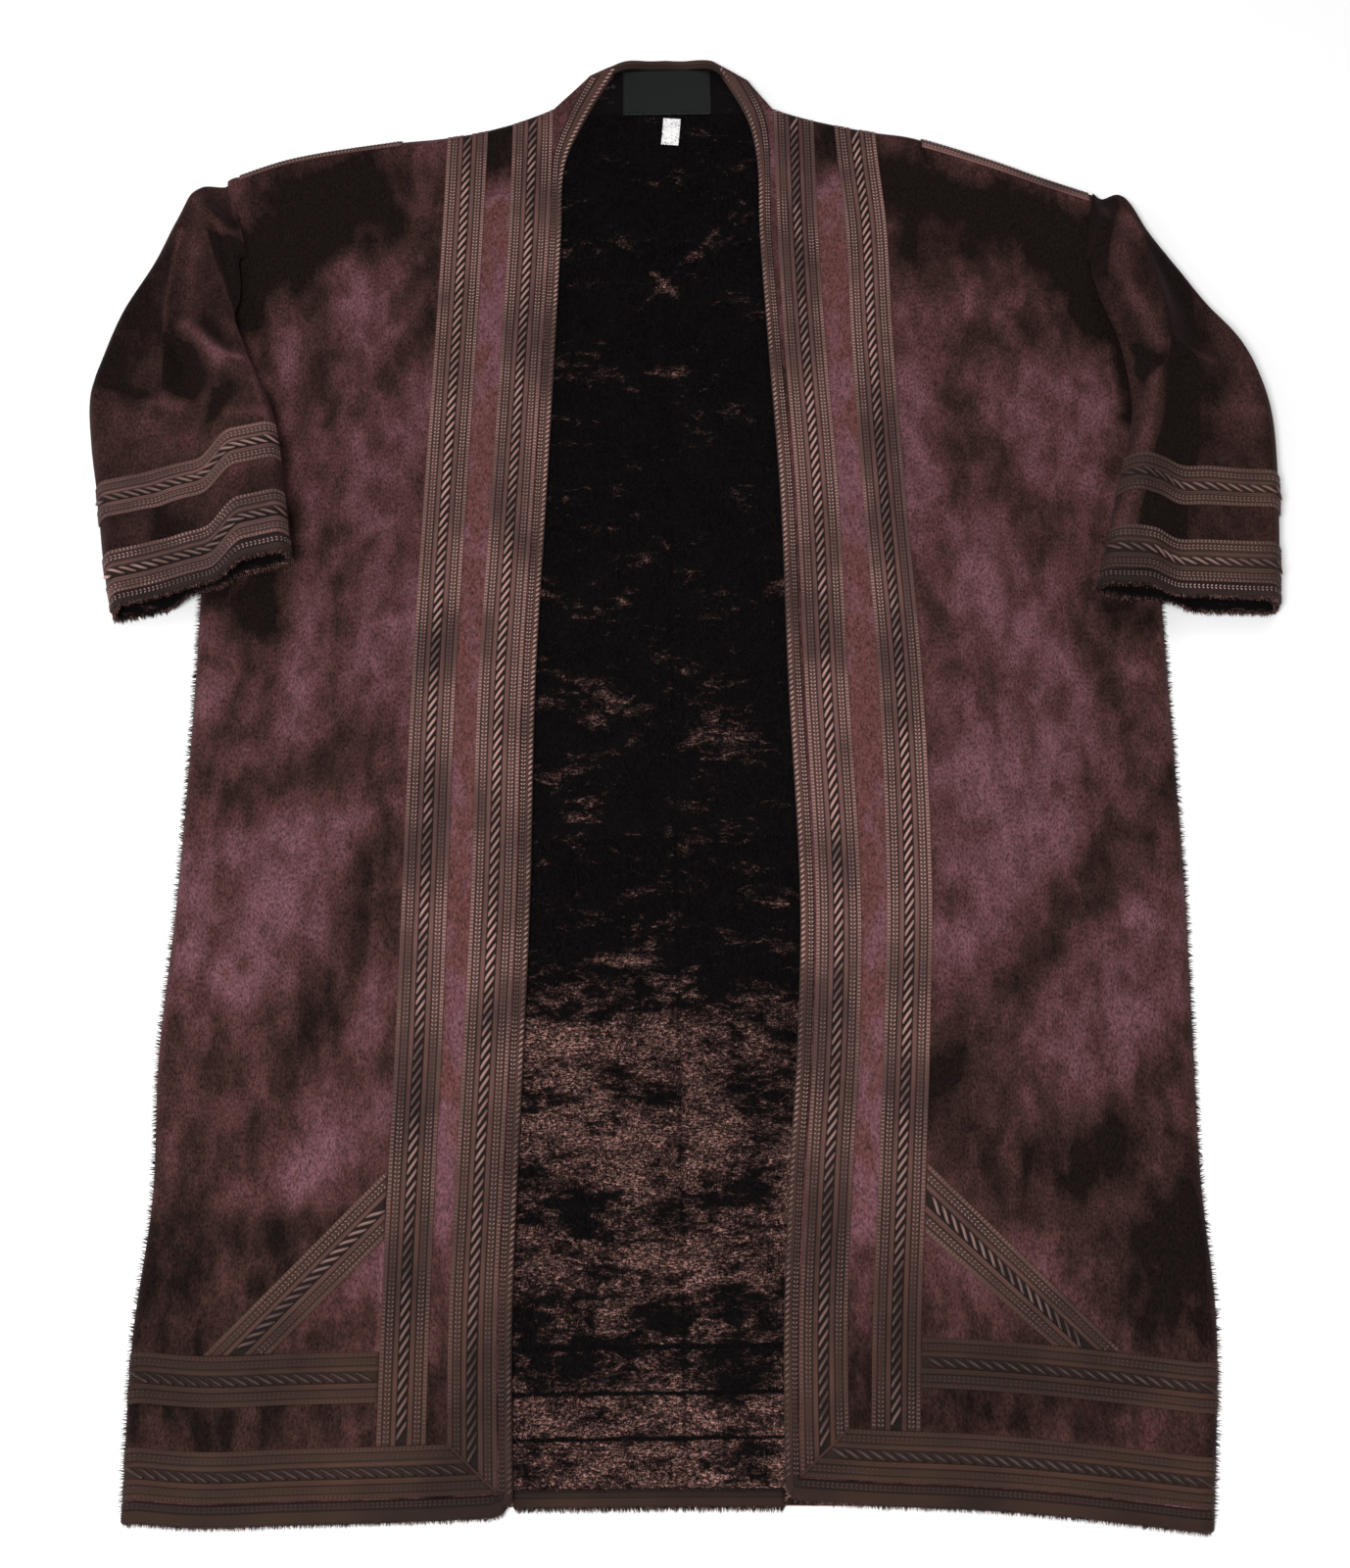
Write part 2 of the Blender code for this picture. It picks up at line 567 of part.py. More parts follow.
def back_outline(out):
    """How far down and up the back reaches at one signed distance from the centre line."""
    side = "left" if out < 0.0 else "right"
    far = abs(out)
    widest = line_out(side, "side", WIDEST_UP)
    hem_end = BACK_HEM[0] if side == "left" else BACK_HEM[2]
    hem = BACK_HEM[1] + (hem_end - BACK_HEM[1]) * min(far / widest, 1.0)
    inset = INSET * ease(NECK_START - 1.0, NECK_START, far)
    return hem, ridge_up(side, far) - inset


def build_back(suede, binding):
    def wide(share, up):
        """A wide column follows the sides, inside the fronts' rolled edges."""
        side = "left" if share < 0.0 else "right"
        return share * (line_out(side, "side", up) - INSET)

    columns = [lambda up, share=share: wide(share, up) for share in BACK_COLUMNS]
    columns += [lambda up, out=out: out for out in NECK_OUTS]
    columns.sort(key=lambda column: column(NECK_FROM))
    low_face, high_face = [], []
    for share in BACK_SHARES:
        row = []
        for column in columns:
            up = share * NECK_FROM
            for _ in range(BACK_PASSES):
                out = column(up)
                hem, top = back_outline(out)
                up = hem + share * (top - hem)
            row.append((out, up))
        low_face.append([(out, up, 0.0) for out, up in row])
        high_face.append([(out, up, CLOTH) for out, up in row])
    add_wall("back_panel", "right", high_face, low_face, False, suede)

    up_normal = np.array([0.0, 0.0, 1.0])
    turned_profile = [(1.0 - share, height) for share, height in BINDING_PROFILE[::-1]]
    start = FRONT_CLEAR - line_out("left", "edge", 0.0)
    end = line_out("right", "edge", 0.0) - FRONT_CLEAR
    runs = []
    for step in range(HEM_STEPS + 1):
        out = start + (end - start) * step / HEM_STEPS
        hem = back_outline(out)[0]
        runs.append(strip_section(np.array([out, hem, CLOTH]), up_normal,
                                  np.array([out, hem + BACK_HEM_BAND, CLOTH]), up_normal,
                                  BINDING_PROFILE))
    add_strip("back_hem_binding", "right", runs, binding)

    runs = []
    for out in NECK_EDGE_OUTS:
        top = back_outline(out)[1]
        runs.append(strip_section(np.array([out, top - NECK_EDGE_BAND, CLOTH]), up_normal,
                                  np.array([out, top, CLOTH]), up_normal, turned_profile))
    add_strip("neck_binding", "right", runs, binding)


def build_labels(neck_colour, care_colour):
    for name, place, turn, finish in (("neck_label", LABEL, 0.0, neck_colour),
                                      ("care_label", CARE_LABEL, CARE_TURN, care_colour)):
        out, up, width, height, thickness = place
        low = CLOTH + GAP
        corners = [(-0.5, -0.5), (0.5, -0.5), (0.5, 0.5), (-0.5, 0.5)]
        points = []
        for level in (low, low + thickness):
            for across, along in corners:
                x, y = across * width, along * height
                points.append(world("right", (out + x * math.cos(turn) - y * math.sin(turn),
                                              up + x * math.sin(turn) + y * math.cos(turn), level)))
        faces = [(3, 2, 1, 0), (4, 5, 6, 7), (0, 1, 5, 4), (1, 2, 6, 5), (2, 3, 7, 6), (3, 0, 4, 7)]
        add_object(name, points, faces, finish)


def stand_on_the_middle():
    """Moves the meshes so that the middle of their footprint is the origin."""
    pieces = [piece for piece in bpy.data.objects if piece.type == 'MESH']
    corners = np.array([vertex.co for piece in pieces for vertex in piece.data.vertices])
    low, high = corners.min(axis=0), corners.max(axis=0)
    shift = np.array([(low[0] + high[0]) / 2.0, (low[1] + high[1]) / 2.0, low[2]])
    for piece in pieces:
        for vertex in piece.data.vertices:
            vertex.co = [vertex.co[k] - shift[k] for k in range(3)]
    return shift


suede_finish = material("plum brown suede", (0.095, 0.050, 0.052), 0.85)
braid_finish = material("taupe braid", (0.075, 0.050, 0.044), 0.60)
binding_finish = material("taupe binding", (0.065, 0.042, 0.038), 0.65)
neck_finish = material("black woven label", (0.010, 0.010, 0.011), 0.70)
care_finish = material("white printed tape", (0.75, 0.74, 0.72), 0.60)

build_back(suede_finish, binding_finish)
build_fronts(suede_finish, braid_finish, binding_finish)
build_sleeves(suede_finish, braid_finish)
build_labels(neck_finish, care_finish)
origin_shift = stand_on_the_middle()
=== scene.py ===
import math

import bmesh
import bpy
import numpy as np
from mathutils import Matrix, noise


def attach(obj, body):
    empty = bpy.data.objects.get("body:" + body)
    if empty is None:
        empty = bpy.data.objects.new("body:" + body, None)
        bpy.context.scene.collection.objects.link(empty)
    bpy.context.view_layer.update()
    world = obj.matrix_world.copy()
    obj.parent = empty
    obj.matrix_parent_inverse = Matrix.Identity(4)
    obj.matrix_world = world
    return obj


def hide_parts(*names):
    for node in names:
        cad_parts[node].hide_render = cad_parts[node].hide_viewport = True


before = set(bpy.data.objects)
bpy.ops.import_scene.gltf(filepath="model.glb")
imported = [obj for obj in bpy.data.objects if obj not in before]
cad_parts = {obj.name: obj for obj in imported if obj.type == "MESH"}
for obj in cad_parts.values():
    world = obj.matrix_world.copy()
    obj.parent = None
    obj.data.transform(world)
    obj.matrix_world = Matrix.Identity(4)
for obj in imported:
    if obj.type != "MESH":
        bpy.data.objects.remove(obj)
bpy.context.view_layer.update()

bpy.context.scene.view_settings.view_transform = "Standard"

# The back. One width of bonded cloth, suede outside and plush inside, lies pile up on the floor
# and shows between the two fronts. Its hem and neck edge are bound, and the pile has been pressed
# into streaks and patches by folding, whose sheen is painted into its colour as lighter pile.
# Tables are in centimetres: out from the centre line to a side, up from the back's hem to the
# neck, heights above the floor.
CM = 0.01
MIDDLE_OUT, MIDDLE_UP = 0.65, 60.777      # the middle of the footprint, as the frame has it
CLOTH = 0.50
ROLL = 1.20
BRAID = 3.45
BACK_INSET = 1.15
NECK_START = 6.4


def columns(names, rows):
    """A short table as one array for each named column."""
    return {name: np.array([row[k] for row in rows]) for k, name in enumerate(names)}


LINES = {
    "left": columns(("up", "edge", "braid", "second", "side"), [
        (-2.0, 12.5, 13.4, 18.5, 39.5), (11.5, 12.7, 13.6, 18.4, 39.6),
        (22.0, 12.4, 13.3, 18.2, 38.8), (33.0, 12.0, 12.9, 17.9, 39.0),
        (45.0, 11.6, 12.5, 17.7, 38.4), (63.0, 11.3, 12.2, 17.4, 38.0),
        (80.0, 10.5, 11.4, 16.8, 38.0), (95.0, 9.8, 10.7, 16.2, 37.6),
        (106.0, 9.3, 10.2, 15.8, 37.3), (113.0, 9.0, 10.0, 15.6, 38.0),
        (118.0, 7.2, 9.9, 15.5, 38.0), (124.0, 4.1, 9.9, 15.5, 38.0)]),
    "right": columns(("up", "edge", "braid", "second", "side"), [
        (-4.0, 6.6, 7.5, 12.2, 35.9), (11.0, 6.9, 7.8, 13.0, 37.6),
        (22.0, 7.6, 8.6, 13.9, 37.5), (33.0, 8.6, 9.6, 14.8, 37.9),
        (45.0, 9.2, 10.2, 15.6, 38.4), (63.0, 8.9, 10.0, 15.8, 38.7),
        (80.0, 8.8, 9.9, 15.3, 38.9), (95.0, 8.2, 9.4, 15.0, 38.4),
        (106.0, 7.8, 9.2, 15.0, 37.2), (113.0, 7.8, 9.2, 14.6, 36.9),
        (118.0, 7.0, 9.2, 14.4, 36.9), (124.0, 4.2, 9.1, 14.4, 36.9)]),
}
HEM = {
    "left": columns(("out", "up"), [
        (12.5, -1.2), (20.0, -1.4), (28.0, -1.5), (34.0, -1.6), (39.5, -1.1)]),
    "right": columns(("out", "up"), [
        (6.6, -0.3), (13.0, -0.8), (20.0, -1.2), (27.0, -1.9), (36.0, -3.1)]),
}
RIDGE = {
    "left": columns(("out", "up"), [
        (0.0, 124.5), (3.0, 124.3), (4.7, 123.5), (7.7, 121.2), (10.7, 119.1), (15.3, 117.4),
        (19.6, 116.4), (23.4, 115.9), (32.1, 114.3), (38.0, 112.1)]),
    "right": columns(("out", "up"), [
        (0.0, 124.5), (3.9, 124.0), (5.7, 122.2), (8.0, 120.0), (10.6, 118.6), (14.3, 117.5),
        (17.9, 116.5), (21.0, 115.8), (27.6, 113.2), (31.7, 111.3), (36.9, 109.1)]),
}
BACK_HEM = {"left": -0.35, "middle": -0.55, "right": -1.3}
BACK_SIDE_CELLS = 152
PILE_LOW, PILE_HIGH = -0.16, 1.00          # how much darker the lower and the upper pile are made; low down the pile is pressed and its sheen painted in as lighter colour
PILE_LINES = [4.0, 7.2, 10.5]             # rows of stitches that hold the hem's turning
CENTRE_SEAM = -0.35


def smooth_read(table, name, at, key):
    """A smooth curve through two columns of a table, held beyond its ends."""
    places, values = table[key], table[name]
    last = len(places) - 1
    at = np.clip(at, places[0], places[-1])
    low = np.clip(np.searchsorted(places, at, side="right") - 1, 0, last - 1)
    slopes = np.empty(last + 1)
    for k in range(last + 1):
        before, after = max(k - 1, 0), min(k + 1, last)
        slopes[k] = (values[after] - values[before]) / (places[after] - places[before])
    span = places[low + 1] - places[low]
    share = (at - places[low]) / span
    bend = share * share * (3.0 - 2.0 * share)
    start = share * (1.0 - share) ** 2 * span * slopes[low]
    end = share * share * (share - 1.0) * span * slopes[low + 1]
    return values[low] * (1.0 - bend) + values[low + 1] * bend + start + end


def ease(low, high, value):
    """A soft step from 0 at low to 1 at high."""
    share = np.clip((value - low) / (high - low), 0.0, 1.0)
    return share * share * (3.0 - 2.0 * share)


def line_out(side, name, up):
    return smooth_read(LINES[side], name, up, "up")


def ridge_up(side, out):
    return smooth_read(RIDGE[side], "up", out, "out")


def hem_up(side, out):
    return smooth_read(HEM[side], "up", out, "out")


def laid(side, out, up, high):
    """Places given in centimetres from the centre line, in the part's own axes and metres."""
    sign = -1.0 if side == "left" else 1.0
    across = sign * np.asarray(out, float) - MIDDLE_OUT
    along = np.asarray(up, float) - MIDDLE_UP
    return np.stack(np.broadcast_arrays(across, along, high), axis=-1) * CM


def grid_faces(rows, wide, closed=False, start=0):
    """Four-sided faces over a grid of points given row by row."""
    r, c = np.meshgrid(np.arange(rows - 1), np.arange(wide if closed else wide - 1),
                       indexing="ij")
    after = (c + 1) % wide
    faces = np.stack([r * wide + c, r * wide + after, (r + 1) * wide + after,
                      (r + 1) * wide + c], axis=-1)
    return faces.reshape(-1, 4) + start


def add_piece(name, points, faces, finishes, slots=None, chart=None, tone_and_painted_light=None):
    """A mesh object from points and faces, its faces turned outwards where it is a solid."""
    mesh = bpy.data.meshes.new(name)
    points = np.asarray(points, float).reshape(-1, 3)
    mesh.from_pydata(points.tolist(), [], [tuple(int(v) for v in face) for face in faces])
    for finish in finishes:
        mesh.materials.append(finish)
    if slots is not None:
        mesh.polygons.foreach_set("material_index", np.asarray(slots, np.int32))
    if chart is not None:
        corners = np.empty(len(mesh.loops), np.int32)
        mesh.loops.foreach_get("vertex_index", corners)
        layer = mesh.uv_layers.new(name="cloth")
        layer.data.foreach_set("uv", np.asarray(chart, np.float32)[corners].ravel())
    # The marks per point: nap and wear, and on the cloth painted light and shade as well.
    if tone_and_painted_light is not None:
        mark = mesh.attributes.new("tone_and_painted_light", "FLOAT", "POINT")
        mark.data.foreach_set("value", np.asarray(tone_and_painted_light, np.float32).ravel())
    work = bmesh.new()
    work.from_mesh(mesh)
    bmesh.ops.recalc_face_normals(work, faces=work.faces)
    work.to_mesh(mesh)
    work.free()
    mesh.shade_smooth()
    piece = bpy.data.objects.new(name, mesh)
    bpy.context.collection.objects.link(piece)
    return piece


def add_wall(name, outer, inner, finishes, closed=False, inner_slot=0, tone_and_painted_light=None):
    """A closed cloth wall between two like grids of points, its rims filled."""
    rows, wide = outer.shape[:2]
    count = rows * wide
    skin = grid_faces(rows, wide, closed)
    lining = grid_faces(rows, wide, closed, count)[:, ::-1]
    rims = []
    across = np.arange(wide if closed else wide - 1)
    after = (across + 1) % wide
    for row, turn in ((0, 1), (rows - 1, -1)):
        a, b = row * wide + across, row * wide + after
        rims.append(np.stack([b, a, a + count, b + count], axis=-1)[:, ::turn])
    if not closed:
        down = np.arange(rows - 1)
        for column, turn in ((0, 1), (wide - 1, -1)):
            a, b = down * wide + column, (down + 1) * wide + column
            rims.append(np.stack([a, b, b + count, a + count], axis=-1)[:, ::turn])
    rims = np.concatenate(rims)
    slots = np.concatenate([np.zeros(len(skin)), np.full(len(lining), inner_slot),
                            np.full(len(rims), inner_slot)])
    faces = np.concatenate([skin, lining, rims])
    points = np.concatenate([outer.reshape(-1, 3), inner.reshape(-1, 3)])
    if tone_and_painted_light is not None:
        tone_and_painted_light = np.concatenate([tone_and_painted_light.ravel(), tone_and_painted_light.ravel()])
    return add_piece(name, points, faces, finishes, slots, tone_and_painted_light=tone_and_painted_light)


def put(tree, kind, inputs=None, **settings):
    """A node with its settings and inputs, each a value or another node's output."""
    made = tree.nodes.new(kind)
    for key, value in settings.items():
        setattr(made, key, value)
    for key, value in (inputs or {}).items():
        if isinstance(value, bpy.types.NodeSocket):
            tree.links.new(value, made.inputs[key])
        else:
            made.inputs[key].default_value = value
    return made


def ramp(tree, value, stops):
    """A colour ramp from (place, colour) stops."""
    made = tree.nodes.new("ShaderNodeValToRGB")
    tree.links.new(value, made.inputs["Fac"])
    while len(made.color_ramp.elements) < len(stops):
        made.color_ramp.elements.new(1.0)
    for element, (place, colour) in zip(made.color_ramp.elements, stops):
        element.position = place
        element.color = (*colour, 1.0) if len(colour) == 3 else (colour[0],) * 3 + (1.0,)
    return made.outputs["Color"]


def mix_colour(tree, share, first, second, blend="MIX"):
    made = put(tree, "ShaderNodeMix", data_type="RGBA", blend_type=blend)
    for key, value in ((0, share), (6, first), (7, second)):
        if isinstance(value, bpy.types.NodeSocket):
            tree.links.new(value, made.inputs[key])
        else:
            made.inputs[key].default_value = value if key == 0 else (*value, 1.0)
    return made.outputs[2]


def maths(tree, operation, first, second=0.0, clamp=False):
    made = put(tree, "ShaderNodeMath", {0: first, 1: second}, operation=operation)
    made.use_clamp = clamp
    return made.outputs[0]


def new_finish(name, **values):
    """A material with a Principled shader, its even values set on the shader's own sockets."""
    finish = bpy.data.materials.new(name)
    finish.use_nodes = True
    shader = finish.node_tree.nodes["Principled BSDF"]
    for key, value in values.items():
        shader.inputs[key.replace("_", " ")].default_value = value
    return finish, finish.node_tree, shader


def brushed_pile():
    """The node group that brushes a pile one way and the other: patches, streaks and grain."""
    tree = bpy.data.node_groups.new("brushed pile", "ShaderNodeTree")
    for name, kind in (("Vector", "NodeSocketVector"), ("Patch Scale", "NodeSocketFloat"),
                       ("Streak Scale", "NodeSocketFloat"), ("Grain Scale", "NodeSocketFloat"),
                       ("Swirl", "NodeSocketFloat"), ("Crispness", "NodeSocketFloat")):
        tree.interface.new_socket(name=name, in_out="INPUT", socket_type=kind)
    for name in ("Patches", "Streaks", "Grain"):
        tree.interface.new_socket(name=name, in_out="OUTPUT", socket_type="NodeSocketFloat")
    given = tree.nodes.new("NodeGroupInput")
    result = tree.nodes.new("NodeGroupOutput")
    patches = put(tree, "ShaderNodeTexNoise", {
        "Vector": given.outputs["Vector"], "Scale": given.outputs["Patch Scale"], "Detail": 5.0,
        "Roughness": given.outputs["Crispness"], "Distortion": given.outputs["Swirl"]})
    streaks = put(tree, "ShaderNodeTexNoise", {
        "Vector": given.outputs["Vector"], "Scale": given.outputs["Streak Scale"], "Detail": 6.0,
        "Roughness": given.outputs["Crispness"], "Distortion": given.outputs["Swirl"]})
    grain = put(tree, "ShaderNodeTexNoise", {
        "Vector": given.outputs["Vector"], "Scale": given.outputs["Grain Scale"], "Detail": 3.0,
        "Roughness": 0.75})
    tree.links.new(patches.outputs["Fac"], result.inputs["Patches"])
    tree.links.new(streaks.outputs["Fac"], result.inputs["Streaks"])
    tree.links.new(grain.outputs["Fac"], result.inputs["Grain"])
    return tree


PILE_GROUP = brushed_pile()


def brush(tree, vector, patch, streak, grain, swirl, crispness):
    made = put(tree, "ShaderNodeGroup", node_tree=PILE_GROUP)
    tree.links.new(vector, made.inputs["Vector"])
    for key, value in (("Patch Scale", patch), ("Streak Scale", streak), ("Grain Scale", grain),
                       ("Swirl", swirl), ("Crispness", crispness)):
        made.inputs[key].default_value = value
    return made.outputs


def plush_finish(name, tufts):
    """Crushed pile: near black where it stands, brown and bright where it has been pressed, that
    brightness its sheen painted into the colour.
    """
    finish, tree, shader = new_finish(name, Sheen_Weight=0.01, Sheen_Roughness=0.3,
                                      Specular_IOR_Level=0.07)
    shader.inputs["Sheen Tint"].default_value = (0.75, 0.50, 0.48, 1.0)
    place = put(tree, "ShaderNodeTexCoord").outputs["Object"]
    flat = put(tree, "ShaderNodeMapping", {"Vector": place, "Scale": (0.75, 1.6, 1.0)})
    pile = brush(tree, flat.outputs["Vector"], 19.0, 85.0, 420.0, 0.7, 0.66)
    level = maths(tree, "ADD", maths(tree, "MULTIPLY", pile["Patches"], 1.1),
                  maths(tree, "MULTIPLY", pile["Streaks"], 1.35))
    # The marks per point carry the pile's pressing and its painted sheen.
    pressed_and_sheen = put(tree, "ShaderNodeAttribute", attribute_name="tone_and_painted_light").outputs["Fac"]
    level = maths(tree, "ADD", maths(tree, "SUBTRACT", level, 0.61),
                  maths(tree, "MULTIPLY", pressed_and_sheen, 0.24))
    lit = ramp(tree, level, [(0.48, (0.0,)), (0.60, (0.17,)), (0.70, (0.50,)), (0.90, (1.0,))])
    grain = ramp(tree, pile["Grain"], [(0.41, (0.0,)), (0.51, (0.28,)), (0.62, (1.0,))])
    share = maths(tree, "MULTIPLY", lit, grain)
    if tufts:
        tip = put(tree, "ShaderNodeAttribute", attribute_name="tip").outputs["Fac"]
        tone = put(tree, "ShaderNodeAttribute", attribute_name="tone").outputs["Fac"]
        share = maths(tree, "MULTIPLY", share, maths(tree, "ADD", maths(
            tree, "MULTIPLY", tip, 0.8), 0.2))
        share = maths(tree, "MULTIPLY", share, maths(tree, "ADD", maths(
            tree, "MULTIPLY", tone, 1.5), 0.15), clamp=True)
    colour = mix_colour(tree, share, PILE_DARK, PILE_SHEEN)
    tree.links.new(colour, shader.inputs["Base Color"])
    rough = maths(tree, "SUBTRACT", 0.80, maths(tree, "MULTIPLY", lit, 0.30))
    tree.links.new(rough, shader.inputs["Roughness"])
    bump = put(tree, "ShaderNodeBump", {"Strength": 0.6, "Distance": 0.0014,
                                        "Height": pile["Grain"]})
    tree.links.new(bump.outputs["Normal"], shader.inputs["Normal"])
    return finish


def suede_finish(name, patches, streaks):
    """Brushed suede: soft patches where hands have turned the nap, under a fine grain, with the
    marks per point, which carry nap and painted light and shade.
    """
    finish, tree, shader = new_finish(name, Sheen_Weight=0.06, Sheen_Roughness=0.45,
                                      Specular_IOR_Level=0.04)
    shader.inputs["Sheen Tint"].default_value = (0.62, 0.34, 0.40, 1.0)
    place = put(tree, "ShaderNodeTexCoord").outputs["Object"]
    long = put(tree, "ShaderNodeMapping", {"Vector": place, "Scale": (1.5, 0.75, 1.0)})
    tone_and_painted_light = brush(tree, long.outputs["Vector"], 8.0, 40.0, 480.0, 0.25, 0.46)
    # The marks per point carry the nap and painted shade and highlights.
    nap_and_painted_light = put(tree, "ShaderNodeAttribute", attribute_name="tone_and_painted_light").outputs["Fac"]
    level = maths(tree, "ADD", maths(tree, "MULTIPLY", tone_and_painted_light["Patches"], patches),
                  maths(tree, "MULTIPLY", tone_and_painted_light["Streaks"], streaks))
    level = maths(tree, "ADD", maths(tree, "ADD", level, 0.5 - 0.5 * (patches + streaks)),
                  maths(tree, "MULTIPLY", nap_and_painted_light, 0.18))
    colour = ramp(tree, level, [(0.16, (0.0080, 0.0047, 0.0040)), (0.36, (0.031, 0.0148, 0.0125)),
                                (0.52, (0.064, 0.0264, 0.0264)), (0.76, (0.122, 0.054, 0.065)),
                                (0.90, (0.094, 0.037, 0.035))])
    grain = ramp(tree, tone_and_painted_light["Grain"], [(0.33, (0.34,)), (0.67, (1.70,))])
    colour = mix_colour(tree, 1.0, colour, grain, "MULTIPLY")
    tree.links.new(colour, shader.inputs["Base Color"])
    rough = maths(tree, "ADD", 0.80, maths(tree, "MULTIPLY", tone_and_painted_light["Streaks"], 0.18))
    tree.links.new(rough, shader.inputs["Roughness"])
    height = maths(tree, "ADD", tone_and_painted_light["Grain"], maths(tree, "MULTIPLY", tone_and_painted_light["Streaks"], 1.2))
    bump = put(tree, "ShaderNodeBump", {"Strength": 0.5, "Distance": 0.0010,
                                        "Height": height})
    tree.links.new(bump.outputs["Normal"], shader.inputs["Normal"])
    return finish


# The bright pile colour is the painted sheen of pressed pile; the dark one is the standing pile's
# own colour.
PILE_DARK, PILE_SHEEN = (0.0026, 0.0017, 0.0019), (0.420, 0.215, 0.183)
plush = plush_finish("crushed plush", False)
plush_tufts = plush_finish("plush tufts", True)
suede = suede_finish("plum brown suede", 0.56, 0.74)
sleeve_suede = suede_finish("dark brown suede", 0.34, 0.44)


def measured(points):
    """The centimetres out from the centre line, signed, and up, of points in the frame."""
    points = np.asarray(points)
    return points[..., 0] / CM + MIDDLE_OUT, points[..., 1] / CM + MIDDLE_UP


def stroked(strokes, out, up):
    """The sum of soft strokes, each a shade, a half width and a path of places."""
    total = np.zeros(np.shape(out))
    for shade, half_width, path in strokes:
        nearest = np.full(np.shape(out), 1.0e6)
        for (out_a, up_a), (out_b, up_b) in zip(path, path[1:]):
            run_out, run_up = out_b - out_a, up_b - up_a
            share = ((out - out_a) * run_out + (up - up_a) * run_up) / (run_out ** 2 + run_up ** 2)
            share = np.clip(share, 0.0, 1.0)
            nearest = np.minimum(nearest, np.hypot(out - out_a - share * run_out,
                                                   up - up_a - share * run_up))
        total = total + shade * np.exp(-(nearest / half_width) ** 2)
    return total


def patched(patches, out, up):
    """The sum of patches with firmer edges, each a shade, the edge's softness and its corners."""
    total = np.zeros(np.shape(out))
    for shade, soft, corners in patches:
        ring = list(zip(corners, corners[1:] + corners[:1]))
        nearest = np.full(np.shape(out), 1.0e6)
        inside = np.zeros(np.shape(out), bool)
        for (out_a, up_a), (out_b, up_b) in ring:
            run_out, run_up = out_b - out_a, up_b - up_a
            share = ((out - out_a) * run_out + (up - up_a) * run_up) / (run_out ** 2 + run_up ** 2)
            share = np.clip(share, 0.0, 1.0)
            nearest = np.minimum(nearest, np.hypot(out - out_a - share * run_out,
                                                   up - up_a - share * run_up))
            if up_a != up_b:
                crossed = out < out_a + (up - up_a) * run_out / run_up
                inside ^= ((up_a > up) != (up_b > up)) & crossed
        total = total + shade * ease(-soft, soft, np.where(inside, nearest, -nearest))
    return total


# Where the pile of the lining has been pressed, its shine painted into the colour as lighter
# streaks and patches, with a few darker ones
PRESSED_PILE_SHEEN = [
    (0.95, 3.6, [(-11.0, 33.5), (-2.0, 34.5)]), (0.6, 3.0, [(1.5, 34.0), (6.0, 33.0)]),
    (0.75, 3.0, [(-11.0, 26.0), (-1.5, 24.0)]), (0.7, 2.6, [(1.5, 27.0), (7.0, 24.5)]),
    (0.8, 2.6, [(-10.0, 16.5), (-3.0, 17.5)]), (0.75, 2.6, [(1.0, 17.0), (6.0, 18.5)]),
    (0.7, 2.2, [(-11.0, 6.0), (6.0, 5.6)]), (0.75, 1.8, [(-11.5, 1.6), (6.0, 1.4)]),
    (-0.4, 2.2, [(-9.0, 14.5), (-8.2, 8.0)]), (-0.5, 1.6, [(2.6, 15.0), (3.4, 2.0)]),
    (-0.5, 1.7, [(-11.0, 22.5), (-6.5, 18.5), (-5.5, 13.0)]),
    (-0.5, 1.5, [(4.6, 30.0), (6.4, 16.0)]), (-0.5, 1.3, [(-1.0, 29.0), (-2.2, 19.5)]),
    (0.55, 2.6, [(-6.0, 60.0), (-8.0, 56.0)]), (0.5, 2.4, [(3.0, 61.0), (6.0, 56.0)]),
    (0.45, 1.6, [(-1.5, 75.0), (3.0, 71.0)]), (1.5, 0.45, [(-7.5, 39.9), (-2.6, 39.8)]),
    (1.05, 0.26, [(-7.0, 109.4), (2.2, 97.5)]), (0.85, 0.26, [(7.0, 110.0), (-3.4, 97.5)]),
    (0.4, 0.5, [(-0.8, 101.8), (0.4, 100.2)]),
    (0.9, 0.40, [(-4.5, 92.0), (-2.6, 89.6), (1.8, 89.6), (3.6, 91.8)]),
    (0.9, 0.8, [(-2.0, 93.0), (1.0, 92.0)]), (-0.3, 9.0, [(-2.0, 116.0), (0.0, 80.0)]),
]


def lining_pile_and_sheen(out, up):
    """How the lining's pile lies: pressed low down, standing above, drawn in along its seams; its
    pressed places are painted lighter as their sheen.
    """
    low = ease(44.0, 26.0, up)
    seams = sum(np.exp(-((up - line) / 0.09) ** 2) for line in PILE_LINES)
    seams = seams + 0.12 * np.exp(-((out - CENTRE_SEAM) / 0.14) ** 2) * ease(100.0, 70.0, up)
    return PILE_LOW * low - PILE_HIGH * (1.0 - low) + stroked(PRESSED_PILE_SHEEN, out, up) - 3.5 * seams


